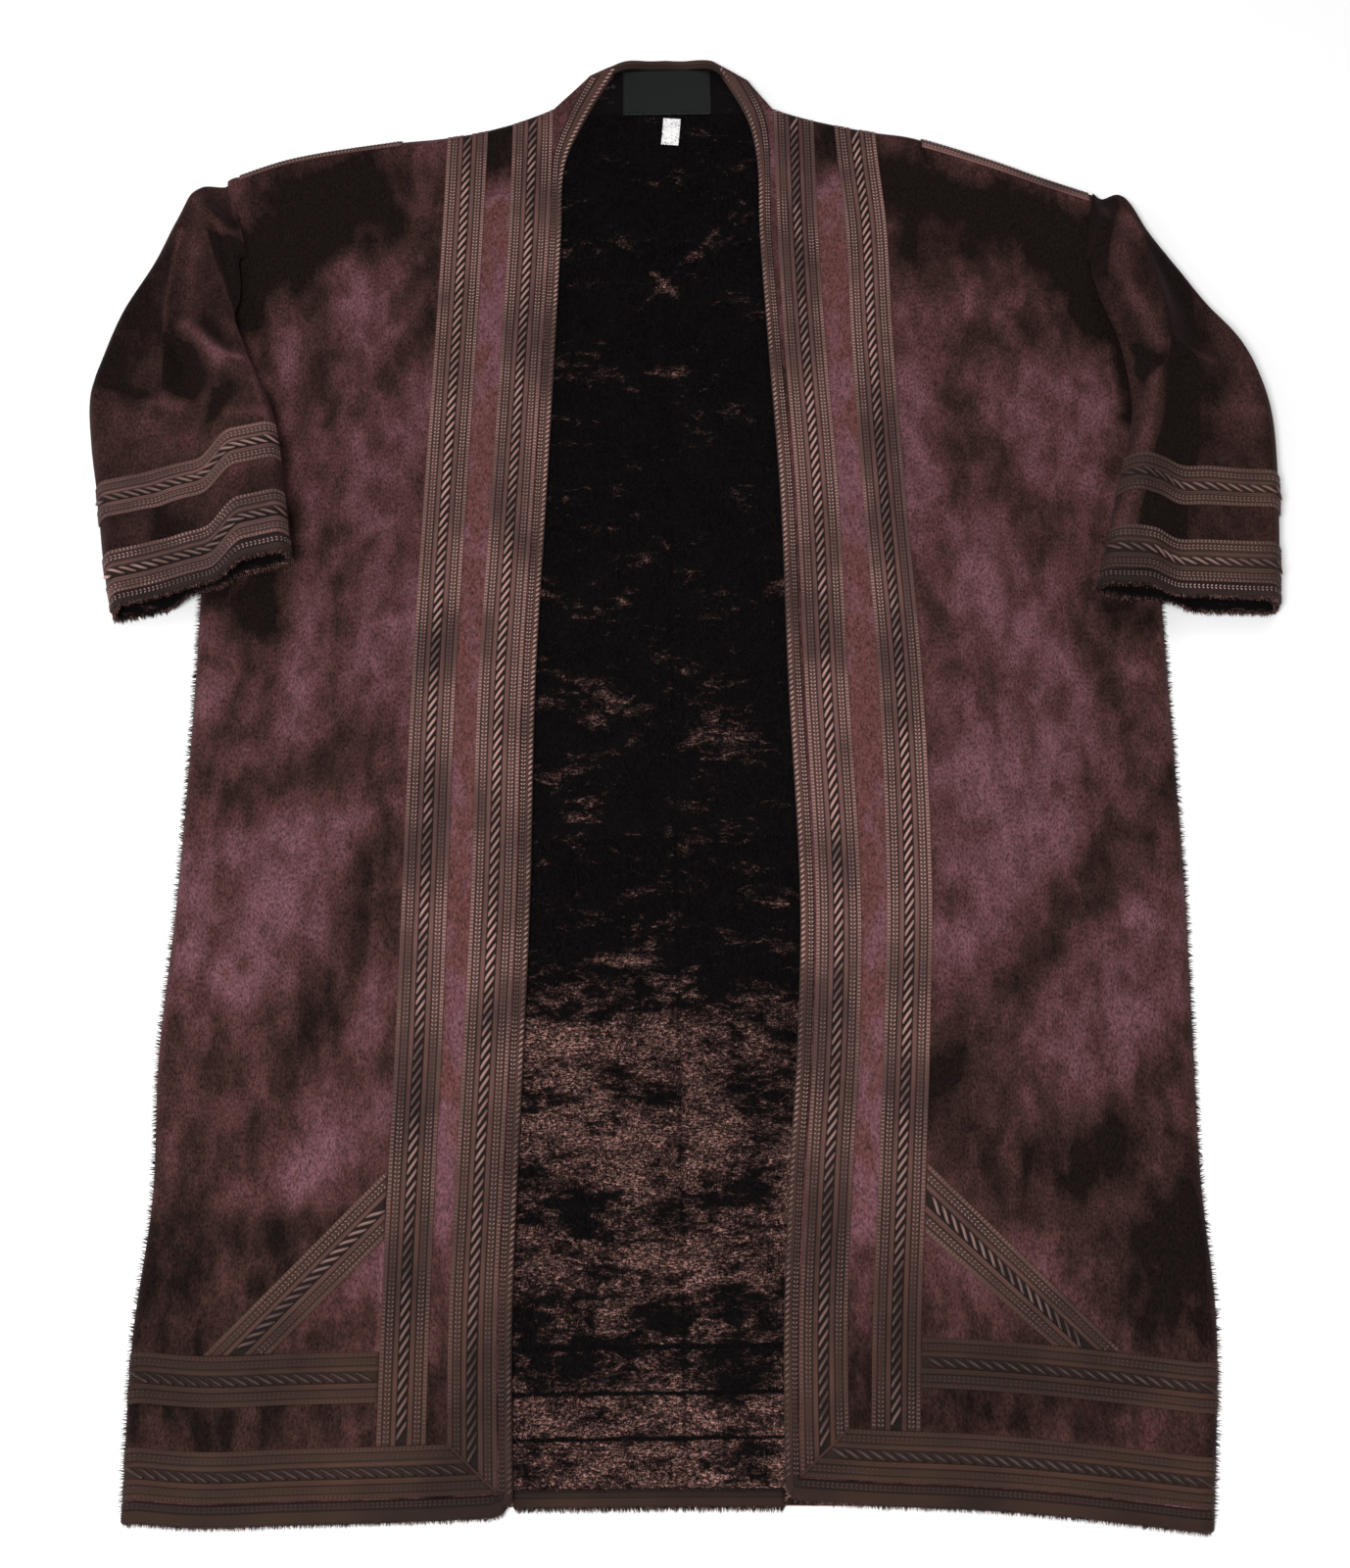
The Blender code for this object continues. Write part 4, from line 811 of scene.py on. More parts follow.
# Painted light and shade on the sleeves: lit strips along their crests and fold edges, shade in the
# hollows, the pit under the crease and the far slopes, with a little nap.
SLEEVE_PAINTED_LIGHT_AND_NAP = {
    "left": [
        (1.7, 0.8, [(40.2, 95.5), (38.1, 93.1), (36.8, 91.5)]),
        (-1.0, 1.0, [(41.4, 94.4), (41.0, 90.8), (38.8, 89.6)]),
        (-1.0, 0.8, [(38.4, 95.2), (36.4, 93.3)]),
        (-1.9, 1.2, [(37.6, 104.4), (36.2, 101.0), (34.9, 96.7)]),
        (-1.4, 1.0, [(38.9, 108.6), (37.2, 107.0)]),
        (0.9, 0.6, [(40.2, 109.2), (38.7, 107.0), (36.9, 105.2)]),
        (0.8, 0.22, [(41.2, 106.0), (41.9, 98.6), (41.9, 90.4)]),
        (0.5, 1.6, [(39.8, 104.0), (39.9, 98.0)]), (-0.9, 0.5, [(47.2, 90.9), (42.8, 88.9)]),
        (0.9, 0.6, [(42.8, 88.5), (40.3, 87.9)]), (0.7, 2.4, [(45.4, 86.0), (37.9, 84.6)]),
        (-0.9, 1.0, [(36.0, 89.2), (37.5, 85.6)]), (0.8, 0.7, [(35.6, 86.4), (33.4, 86.2)]),
        (-0.6, 2.2, [(44.6, 99.0), (46.4, 92.0)]), (-0.7, 1.0, [(41.8, 79.6), (40.4, 76.2)]),
        (0.9, 0.9, [(35.2, 81.0), (32.6, 81.8)]), (1.2, 0.35, [(36.7, 92.2), (35.2, 91.8)]),
        (0.5, 1.4, [(38.0, 78.4), (34.0, 79.6)]),
        (0.9, 0.28, [(38.9, 105.2), (37.3, 100.1), (35.5, 94.3)]),
        (0.8, 0.28, [(35.3, 94.3), (33.7, 88.6), (32.2, 83.8)])],
    "right": [
        (1.1, 0.9, [(38.6, 106.0), (37.5, 100.5), (38.4, 97.2), (39.4, 94.2), (40.2, 92.2)]),
        (1.1, 1.0, [(39.4, 88.6), (38.4, 83.9), (36.4, 77.4), (34.8, 73.0)]),
        (-1.1, 0.7, [(38.5, 91.8), (40.0, 90.6)]), (0.9, 0.3, [(40.7, 90.9), (39.7, 89.5)]),
        (-1.0, 1.5, [(42.0, 95.0), (41.9, 89.5), (41.0, 83.9), (39.6, 78.2), (38.2, 71.7)]),
        (-0.6, 1.2, [(41.4, 102.6), (42.4, 96.7)]), (0.6, 1.7, [(45.8, 94.4), (46.6, 86.4)]),
        (-0.5, 1.4, [(44.3, 94.0), (44.3, 88.3)]), (0.7, 0.4, [(42.5, 92.0), (44.3, 90.7)]),
        (-1.6, 1.1, [(36.8, 108.0), (35.9, 103.4), (35.0, 100.0)]),
        (0.5, 1.4, [(46.6, 78.0), (46.4, 72.0)])]
}
# Painted shade with firmer edges on the sleeves: in the hollow by the body, in the pit under the
# crease, under the sharp fold edges and on the far slope of the right sleeve.
SLEEVE_PAINTED_SHADE_PATCHES = {
    "left": [
        (-1.7, 0.30, [(39.0, 105.4), (37.1, 100.1), (35.3, 94.6), (33.8, 94.6), (34.0, 103.6),
                      (36.4, 105.0)]),
        (-1.2, 0.30, [(41.9, 95.2), (41.7, 89.6), (39.0, 88.4), (38.2, 90.4), (39.4, 93.6)]),
        (-0.15, 0.35, [(41.4, 106.6), (42.2, 98.6), (41.9, 90.4), (50.0, 89.0), (50.0, 100.0),
                      (44.0, 106.0)]),
        (-0.7, 0.30, [(37.4, 89.0), (35.8, 88.6), (36.6, 86.2), (38.0, 85.8)])],
    "right": [
        (-0.9, 0.30, [(38.9, 107.1), (40.1, 103.6), (40.4, 99.9), (40.8, 96.9), (41.5, 93.6),
                      (43.2, 93.0), (43.6, 98.0), (42.2, 103.0), (40.4, 106.4)]),
        (-1.2, 0.25, [(40.8, 91.0), (40.4, 88.5), (40.1, 85.6), (38.9, 82.1), (37.8, 78.3),
                      (36.7, 74.6), (36.0, 69.0), (38.6, 69.0), (40.8, 76.0), (42.6, 84.0),
                      (43.0, 91.0), (41.6, 93.2)]),
        (-0.9, 0.25, [(38.2, 92.2), (40.4, 91.0), (38.4, 88.0), (37.8, 89.6)]),
        (-1.5, 0.35, [(36.0, 110.0), (35.4, 104.0), (34.8, 99.4), (36.2, 99.4), (36.9, 103.6),
                      (38.2, 107.2), (37.4, 109.6)])],
}
SLEEVE_SHADE = {"left": -1.15, "right": -1.10}      # how much darker the sleeves are made overall
SLEEVE_ROW_CELLS, SLEEVE_TOP_CELLS, SLEEVE_LOW_CELLS = 17, 84, 26


def body_top(side, out, up, fall, lead):
    """What a sleeve's lower cloth lies on: the front, then down to the floor beside it."""
    edge = line_out(side, "side", up)
    on_front = front_top(side, np.minimum(out, edge - ROLL), up) + OVER_BODY
    beside = np.clip((out - edge - BESIDE_BODY + lead) / fall, 0.0, 1.0)
    return on_front * (1.0 - beside * beside * (3.0 - 2.0 * beside))


def sleeve_face(side, row, share, upper=True, inner=False):
    """Points of a sleeve's cloth, by place in its rows and share of the way to its fold."""
    row, share = np.broadcast_arrays(np.asarray(row, float), np.asarray(share, float))
    table = dict(SLEEVES[side], row=SEAM_ROW + np.arange(len(SLEEVES[side]["in_out"])))
    at = {name: smooth_read(table, name, row, "row") for name in SLEEVE_NAMES}
    run_out, run_up = at["fold_out"] - at["in_out"], at["fold_up"] - at["in_up"]
    width = np.hypot(run_out, run_up)
    reach = np.minimum(FOLD_REACH / width, 0.45)
    cloth = SLEEVE_CLOTH if inner else 0.0
    shift = cloth / width
    along = shift + share * (1.0 - 2.0 * shift)
    out = at["in_out"] + along * run_out
    up = at["in_up"] + along * run_up
    fall = at["inner_fall"] + along * (at["outer_fall"] - at["inner_fall"])
    slid = STEPS[side][0] + ease(STEP_FROM, STEP_TO, share) * (STEPS[side][1] - STEPS[side][0])
    up = up + slid * ease(4.0, 6.8, row) * (1.0 - 0.5 * ease(9.6, 11.0, row))
    low = body_top(side, out, up, fall, SEAM_LEAD * ease(0.4, SEAM_ROW, row))
    levels = np.stack([at["inner"], at["inner"], at["middle"], at["outer"], at["outer"]], -1)
    place = np.interp(share, HEIGHT_SHARES, np.arange(5.0))
    bend = place - np.floor(place)
    place = np.floor(place) + bend * bend * (3.0 - 2.0 * bend)
    high = stepped(levels, place) + fold_sum(SLEEVE_FOLDS[side], out, up)
    centre = low + FOLD_HALF + EDGE_RISE * ease(1.0, 3.2, row) * (
        1.0 - ease(0.0, EDGE_SHARE, share))
    near = np.minimum(np.minimum(share, 1.0 - share) / reach, 1.0)
    full = np.sqrt(np.maximum(1.0 - (1.0 - near) ** 2, 0.0))
    if upper:
        high = centre + full * np.maximum(high - cloth - centre, FOLD_HALF - cloth + 0.1)
    else:
        high = centre - full * (FOLD_HALF - cloth)
    sewn = SEAM_HIGH + (1.0 - SEAM_HIGH) * ease(SEAM_ROW, SEAM_ROW + 0.8, row)
    return laid(side, out, up, low + sewn * (high - low))


def even_round(count):
    """Shares from 0 to 1, closer together near the folds."""
    return 0.5 - 0.5 * np.cos(np.pi * np.linspace(0.0, 1.0, count + 1))


def make_sleeves():
    for side in ("left", "right"):
        rows = np.concatenate([np.linspace(SEAM_ROW, 10.0, 11 * SLEEVE_ROW_CELLS + 1),
                               np.linspace(10.1, MOUTH_ROW, 6)])[::-1]
        grids = []
        for inner in (False, True):
            row, share = np.meshgrid(rows, even_round(SLEEVE_TOP_CELLS), indexing="ij")
            top = sleeve_face(side, row, share, True, inner)
            row, share = np.meshgrid(rows, even_round(SLEEVE_LOW_CELLS)[1:-1][::-1],
                                     indexing="ij")
            bottom = sleeve_face(side, row, share, False, inner)
            grids.append(np.concatenate([top, bottom], axis=1))
        out, up = measured(grids[0])
        tone_and_painted_light = stroked(SLEEVE_PAINTED_LIGHT_AND_NAP[side], np.abs(out), up) + SLEEVE_SHADE[side]
        tone_and_painted_light = tone_and_painted_light + patched(SLEEVE_PAINTED_SHADE_PATCHES[side], np.abs(out), up)
        piece = add_wall("sleeve_cloth_" + side, grids[0], grids[1], [sleeve_suede, plush],
                         closed=True, inner_slot=1, tone_and_painted_light=tone_and_painted_light)
        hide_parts("sleeve_" + side)
        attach(piece, "root")


make_sleeves()

# The braids. Woven trimming braid 34 mm wide is sewn flat along each opening, beside it, along
# the hem, slanting across the corner and round each sleeve. Across it run a narrow selvedge, a
# herringbone row, fine ribs, a twisted satin cord in the middle, and the same again.
BRAID_ACROSS = [
    (0.00, 0.02), (0.00, 0.07), (0.012, 0.095), (0.085, 0.100), (0.098, 0.060), (0.112, 0.060),
    (0.125, 0.105), (0.255, 0.105), (0.268, 0.060), (0.280, 0.060), (0.292, 0.125),
    (0.304, 0.075), (0.318, 0.130), (0.332, 0.078), (0.346, 0.135), (0.360, 0.085),
    (0.376, 0.140), (0.388, 0.055), (0.402, 0.035), (0.500, 0.060), (0.598, 0.035),
    (0.612, 0.055), (0.624, 0.140), (0.640, 0.085), (0.654, 0.135), (0.668, 0.078),
    (0.682, 0.130), (0.696, 0.075), (0.708, 0.125), (0.720, 0.060), (0.732, 0.060),
    (0.745, 0.105), (0.875, 0.105), (0.888, 0.060), (0.902, 0.060), (0.915, 0.100),
    (0.988, 0.095), (1.00, 0.07), (1.00, 0.02)]
ROPE_ACROSS = 0.5
CHEVRON_ACROSS = [0.19, 0.81]
SELVEDGE_ACROSS = [0.048, 0.952]
SEWN_GAP = 0.03
guides = {"rope": [], "chevron": [], "selvedge": [], "edge": [], "whip": []}


def faces_and_normals(place, first, second):
    """Points of a face with their outward directions, from a small step each way."""
    points = place(first, second)
    step = 1.0e-3
    along_first = place(first + step, second) - place(first - step, second)
    along_second = place(first, second + step) - place(first, second - step)
    normals = np.cross(along_first, along_second)
    normals /= np.maximum(np.linalg.norm(normals, axis=-1, keepdims=True), 1.0e-12)
    return points, np.where(normals[..., 2:] < 0.0, -normals, normals)


def yarn_lines():
    """The node group of fine yarn: lines along the braid, crossed by the weft, and fibres."""
    tree = bpy.data.node_groups.new("woven yarn", "ShaderNodeTree")
    for name, kind in (("Chart", "NodeSocketVector"), ("Lines", "NodeSocketFloat"),
                       ("Weft", "NodeSocketFloat")):
        tree.interface.new_socket(name=name, in_out="INPUT", socket_type=kind)
    for name in ("Yarn", "Fibre"):
        tree.interface.new_socket(name=name, in_out="OUTPUT", socket_type="NodeSocketFloat")
    given = tree.nodes.new("NodeGroupInput")
    result = tree.nodes.new("NodeGroupOutput")
    split = put(tree, "ShaderNodeSeparateXYZ", {"Vector": given.outputs["Chart"]})
    waves = []
    for axis, key in (("X", "Lines"), ("Y", "Weft")):
        turn = maths(tree, "MULTIPLY", split.outputs[axis], given.outputs[key])
        waves.append(maths(tree, "SINE", turn))
    woven = maths(tree, "MULTIPLY", waves[0], waves[1])
    both = maths(tree, "ADD", maths(tree, "MULTIPLY", waves[0], 0.35),
                 maths(tree, "MULTIPLY", woven, 0.15))
    yarn = maths(tree, "ADD", both, 0.5)
    fibre = put(tree, "ShaderNodeTexNoise", {"Vector": given.outputs["Chart"], "Scale": 900.0,
                                             "Detail": 3.0, "Roughness": 0.7})
    tree.links.new(yarn, result.inputs["Yarn"])
    tree.links.new(fibre.outputs["Fac"], result.inputs["Fibre"])
    return tree


YARN_GROUP = yarn_lines()


def braid_finish(name, dark, light, lines, weft, bands, width, sheen=0.06):
    """Matt woven yarn, charted in metres across and along, in lighter and darker bands, those under
    a cord darkened as painted shade.
    """
    finish, tree, shader = new_finish(name, Sheen_Weight=sheen, Sheen_Roughness=0.4,
                                      Specular_IOR_Level=0.18)
    shader.inputs["Sheen Tint"].default_value = (0.75, 0.58, 0.54, 1.0)
    chart = put(tree, "ShaderNodeUVMap", uv_map="cloth").outputs["UV"]
    made = put(tree, "ShaderNodeGroup", node_tree=YARN_GROUP)
    tree.links.new(chart, made.inputs["Chart"])
    made.inputs["Lines"].default_value = lines
    made.inputs["Weft"].default_value = weft
    place = put(tree, "ShaderNodeTexCoord").outputs["Object"]
    wear = put(tree, "ShaderNodeTexNoise", {"Vector": place, "Scale": 14.0, "Detail": 3.0})
    yarn = maths(tree, "ADD", maths(tree, "MULTIPLY", made.outputs["Yarn"], 0.7),
                 maths(tree, "MULTIPLY", made.outputs["Fibre"], 0.3))
    colour = mix_colour(tree, yarn, dark, light)
    split = put(tree, "ShaderNodeSeparateXYZ", {"Vector": chart})
    band = ramp(tree, maths(tree, "DIVIDE", split.outputs["X"], width * CM), bands)
    colour = mix_colour(tree, 1.0, colour, band, "MULTIPLY")
    shade = ramp(tree, wear.outputs["Fac"], [(0.35, (0.62,)), (0.65, (1.30,))])
    colour = mix_colour(tree, 1.0, colour, shade, "MULTIPLY")
    kept = put(tree, "ShaderNodeAttribute", attribute_name="tone_and_painted_light").outputs["Fac"]
    colour = mix_colour(tree, 1.0, colour, ramp(tree, kept, [
        (0.0, (0.50, 0.47, 0.40)), (1.0, (1.0,))]), "MULTIPLY")
    tree.links.new(colour, shader.inputs["Base Color"])
    rough = maths(tree, "SUBTRACT", 0.86, maths(tree, "MULTIPLY", made.outputs["Yarn"], 0.2))
    tree.links.new(rough, shader.inputs["Roughness"])
    bump = put(tree, "ShaderNodeBump", {"Strength": 0.5, "Distance": 0.0005, "Height": yarn})
    tree.links.new(bump.outputs["Normal"], shader.inputs["Normal"])
    return finish


def mirrored(stops):
    """The same bands again on the other side of the middle."""
    return stops + [(1.0 - place, shade) for place, shade in reversed(stops)]


# Across the braid: selvedge, grooves, the herringbone band and ribs, and the low band under the
# cord darkened as painted shade beneath it.
BRAID_BANDS_AND_CORD_SHADE = mirrored([
    (0.00, (1.0,)), (0.085, (1.1,)), (0.10, (0.25,)), (0.115, (0.30,)), (0.13, (0.62,)),
    (0.25, (0.62,)), (0.265, (0.25,)), (0.280, (0.30,)), (0.30, (1.05,)), (0.365, (1.15,)),
    (0.385, (0.35,)), (0.41, (0.16,)), (0.48, (0.14,))])
HEM_SHINE = 0.20                          # the painted highlight on the hem's cords, kept low as they are worn dull
# The hem's bands, the band under its cord darkened less, still as painted shade.
HEM_BANDS_AND_CORD_SHADE = mirrored([
    (0.00, (1.0,)), (0.085, (1.1,)), (0.10, (0.35,)), (0.115, (0.45,)), (0.13, (0.80,)),
    (0.25, (0.80,)), (0.265, (0.35,)), (0.280, (0.50,)), (0.30, (1.05,)), (0.365, (1.10,)),
    (0.385, (0.55,)), (0.41, (0.50,)), (0.48, (0.50,))])
braid_yarn = braid_finish("taupe braid", (0.018, 0.0084, 0.0068), (0.182, 0.089, 0.080),
                          9000.0, 5200.0, BRAID_BANDS_AND_CORD_SHADE, BRAID)
hem_yarn = braid_finish("worn taupe braid", (0.030, 0.0150, 0.0120), (0.130, 0.064, 0.052),
                        9000.0, 5200.0, HEM_BANDS_AND_CORD_SHADE, BRAID, 0.02)
# A darker copy of the braid's yarn, as painted shade on the right sleeve's braids.
right_sleeve_shaded_yarn = braid_finish("shaded taupe braid", (0.016, 0.0080, 0.0060), (0.088, 0.044, 0.034),
                         9000.0, 5200.0, HEM_BANDS_AND_CORD_SHADE, BRAID, 0.03)


def unworn(up):
    """How much of their first colour the braids keep: less towards the hem."""
    return ease(6.0, 46.0, up)


def add_ribbon(name, node, points, normals, profile, chart, finish, wrap=()):
    """A sewn-down tape: sections of a profile over the cloth's points, closed underneath.

    wrap carries it round the cloth's edge: (beyond the edge, height) in centimetres.
    """
    heights = np.array([height for _, height in profile]) * CM
    face = points + normals * (SEWN_GAP * CM + heights)[None, :, None]
    under = points[:, ::-1][:, [0, -1]] + normals[:, ::-1][:, [0, -1]] * SEWN_GAP * CM
    ring, chart_parts = [face, under], [chart, chart[:, [-1, 0]]]
    if wrap:
        outward = points[:, 0] - points[:, 1]
        outward /= np.maximum(np.linalg.norm(outward, axis=-1, keepdims=True), 1.0e-9)
        beyond = np.array(wrap) * CM
        turned = (points[:, :1] + outward[:, None] * beyond[None, :, :1]
                  + normals[:, :1] * beyond[None, :, 1:])
        ring = [turned, face, under[:, :1]]
        side_chart = chart[:, :1] - np.array([[[0.0012 * (len(wrap) - k), 0.0]
                                               for k in range(len(wrap))]])
        chart_parts = [side_chart, chart, chart[:, -1:]]
    ring = np.concatenate(ring, axis=1)
    chart = np.concatenate(chart_parts, axis=1)
    rows, around = ring.shape[:2]
    faces = [tuple(face) for face in grid_faces(rows, around, closed=True)]
    faces += [tuple(range(around))[::-1], tuple((rows - 1) * around + k for k in range(around))]
    piece = add_piece(name, ring, faces, [finish], chart=chart.reshape(-1, 2),
                      tone_and_painted_light=unworn(measured(ring)[1]))
    if node:
        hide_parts(node)
    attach(piece, "root")
    return piece


def chart_of(points, shares, width):
    """Metres across and along a tape, measured on its own points."""
    middle = points[:, points.shape[1] // 2]
    steps = np.linalg.norm(np.diff(middle, axis=0), axis=-1)
    run = np.concatenate([[0.0], np.cumsum(steps)])
    across = np.asarray(shares) * width * CM
    return np.stack(np.broadcast_arrays(across[None, :], run[:, None]), axis=-1)


def take_guides(place_at, shine=1.0):
    """Keeps the lines along a tape that carry its cord and its rows of stitches."""
    wanted = [("chevron", share) for share in CHEVRON_ACROSS]
    wanted += [("selvedge", share) for share in SELVEDGE_ACROSS] + [("rope", ROPE_ACROSS)]
    for kind, share in wanted:
        guides[kind].append((*place_at(share), shine))


def front_tape(name, side, columns_from, columns_to, rows, slanted):
    """A braid on a front, over its lines from one column to another, mitred at the hem."""
    shares = np.array([share for share, _ in BRAID_ACROSS])
    low_rows = slanted(shares) if slanted else np.full(shares.shape, rows[0])
    steps = np.linspace(0.0, 1.0, int(round((rows[-1] - rows[0]) * 7)) + 1)
    row = low_rows[None, :] + steps[:, None] * (rows[-1] - low_rows[None, :])
    column = columns_from + shares[None, :] * (columns_to - columns_from) + 0.0 * row
    points, normals = faces_and_normals(on_front(side), column, row)
    add_ribbon(name + "_tape", name, points, normals, BRAID_ACROSS, chart_of(points, shares, BRAID),
               braid_yarn)

    def line_at(share):
        low = slanted(np.array([share]))[0] if slanted else rows[0]
        r = low + steps * (rows[-1] - low)
        c = np.full(r.shape, columns_from + share * (columns_to - columns_from))
        return faces_and_normals(on_front(side), c, r)

    take_guides(line_at)


def hem_tape(name, side, rows_from, rows_to, column_first, column_last, slanted):
    """A braid along the hem of a front, over its rows, mitred or butted at its inner end."""
    shares = np.array([share for share, _ in BRAID_ACROSS])
    starts = slanted(shares) if slanted else np.full(shares.shape, column_first)
    steps = np.linspace(0.0, 1.0, 90)
    column = starts[None, :] + steps[:, None] * (column_last - starts[None, :])
    row = rows_from + shares[None, :] * (rows_to - rows_from) + 0.0 * column
    points, normals = faces_and_normals(on_front(side), column, row)
    add_ribbon(name + "_tape", name, points, normals, BRAID_ACROSS, chart_of(points, shares, BRAID),
               hem_yarn)

    def line_at(share):
        first = slanted(np.array([share]))[0] if slanted else column_first
        c = first + steps * (column_last - first)
        r = np.full(c.shape, rows_from + share * (rows_to - rows_from))
        return faces_and_normals(on_front(side), c, r)

    take_guides(line_at, HEM_SHINE)


def corner_tape(side):
    """The slanting braid between the second braid and the upper hem braid."""
    top_up, low_up, top_end, low_end = CORNERS[side]
    shares = np.array([share for share, _ in BRAID_ACROSS])
    steps = np.linspace(0.0, 1.0, 40)

    def place(share, step):
        high_start = (line_out(side, "second", top_up) + BRAID + 0.06, top_up)
        low_start = (line_out(side, "second", low_up) + BRAID + 0.06, low_up)
        high_end = (top_end, hem_up(side, top_end) + HEM_ROWS[5] + 0.06)
        low_end_place = (low_end, hem_up(side, low_end) + HEM_ROWS[5] + 0.06)
        start = [low_start[k] + share * (high_start[k] - low_start[k]) for k in (0, 1)]
        end = [low_end_place[k] + share * (high_end[k] - low_end_place[k]) for k in (0, 1)]
        out = start[0] + step * (end[0] - start[0])
        up = start[1] + step * (end[1] - start[1])
        return laid(side, out, up, front_top(side, out, up) + 0.03)

    share, step = np.meshgrid(shares, steps)
    points, normals = faces_and_normals(place, share, step)
    name = "corner_braid_" + side
    add_ribbon(name + "_tape", name, points, normals, BRAID_ACROSS, chart_of(points, shares, BRAID),
               braid_yarn)

    def line_at(where):
        return faces_and_normals(place, np.full(steps.shape, where), steps)

    take_guides(line_at)


def sleeve_tape(name, side, rows, shine, finish):
    """A braid round the upper cloth of a sleeve."""
    across = np.array([share for share, _ in BRAID_ACROSS])
    steps = 0.5 - 0.5 * np.cos(np.pi * np.linspace(0.06, 0.94, 70))
    row = rows[1] + across[None, :] * (rows[0] - rows[1]) + 0.0 * steps[:, None]
    share = steps[:, None] + 0.0 * row
    points, normals = faces_and_normals(lambda s, r: sleeve_face(side, r, s), share, row)
    add_ribbon(name + "_tape", name, points, normals, BRAID_ACROSS, chart_of(points, across, BRAID),
               finish)

    def line_at(where):
        r = np.full(steps.shape, rows[1] + where * (rows[0] - rows[1]))
        return faces_and_normals(lambda s, q: sleeve_face(side, q, s), steps, r)

    take_guides(line_at, shine)


CORNERS = {"left": (23.5, 18.4, 34.3, 29.6), "right": (23.5, 18.3, 30.6, 25.7)}
END_COLUMN = FLAT_COLUMNS + 2.0
TOP_ROW = FLAT_ROWS + 1.0
MITRE = 0.012


def make_braids():
    for side in ("left", "right"):
        front_tape("edge_braid_" + side, side, 2.0, 3.0, (2.0, TOP_ROW),
                   lambda share: 2.0 + share + MITRE)
        front_tape("second_braid_" + side, side, 4.0, 5.0, (3.0 + MITRE, TOP_ROW), None)
        hem_tape("hem_braid_" + side, side, 2.0, 3.0, 2.0, END_COLUMN,
                 lambda share: 2.0 + share + MITRE)
        hem_tape("upper_hem_braid_" + side, side, 4.0, 5.0, 5.0 + MITRE, END_COLUMN, None)
        corner_tape(side)
        # The left sleeve's cords get stronger painted highlights; the right sleeve's braids get a
        # darker copy of the yarn and weaker highlights, as painted shade on that sleeve.
        cord_highlights = (0.55, 1.5) if side == "left" else (0.35, 0.5)
        yarn = braid_yarn if side == "left" else right_sleeve_shaded_yarn
        sleeve_tape("sleeve_braid_" + side, side, (7.0, 8.0), cord_highlights[0], yarn)
        sleeve_tape("cuff_braid_" + side, side, (9.0, 10.0), cord_highlights[1], yarn)


make_braids()

MITRE_ACROSS = [(0.0, 0.06), (0.15, 0.19), (0.5, 0.25), (0.85, 0.19), (1.0, 0.06)]
MITRE_HALF = 0.018


def mitre_edge(side):
    """The turned edge that stands up where the two braids meet at the corner."""
    shares = np.array([share for share, _ in MITRE_ACROSS])
    share, step = np.meshgrid(shares, np.linspace(2.0, 3.02, 30))
    slip = MITRE_HALF * (2.0 * share - 1.0)
    points, normals = faces_and_normals(on_front(side), step + slip, step - slip)
    add_ribbon("mitre_edge_" + side, None, points, normals, MITRE_ACROSS,
               chart_of(points, 0.03 * shares, BRAID), braid_yarn)


for side in ("left", "right"):
    mitre_edge(side)

# The bindings. A narrow woven tape is folded over each cut edge, the openings, the hems and the
# cuffs, and stitched down beside the braid. It shows one bright herringbone row, then fine lines
# round the edge, where the plush stands out a little.
BINDING_ACROSS = [
    (0.00, 0.10), (0.06, 0.135), (0.13, 0.105), (0.20, 0.145), (0.27, 0.110), (0.34, 0.150),
    (0.41, 0.112), (0.47, 0.120), (0.52, 0.075), (0.56, 0.120), (0.90, 0.125), (0.95, 0.07),
    (1.00, 0.02)]
EDGE_WRAP = [(0.02, -0.52), (0.10, -0.50), (0.155, -0.36), (0.17, -0.18), (0.13, 0.00),
             (0.06, 0.09)]
BINDING_ROW = 0.73
BINDING_BANDS = [(0.00, (0.9,)), (0.46, (1.0,)), (0.50, (0.22,)), (0.54, (0.30,)), (0.58, (0.62,)),
                 (0.88, (0.62,)), (0.93, (0.30,)), (1.0, (0.30,))]
binding_yarn = braid_finish("taupe binding", (0.020, 0.0100, 0.0080), (0.108, 0.052, 0.043),
                            9000.0, 2600.0, BINDING_BANDS, BINDING)
hem_edge_yarn = braid_finish("worn taupe binding", (0.024, 0.0118, 0.0094), (0.080, 0.039, 0.030),
                             9000.0, 2600.0, BINDING_BANDS, BINDING, 0.02)
cuff_yarn = braid_finish("rolled cuff binding", (0.009, 0.0050, 0.0042), (0.040, 0.0205, 0.0175),
                         9000.0, 2600.0, BINDING_BANDS, BINDING)


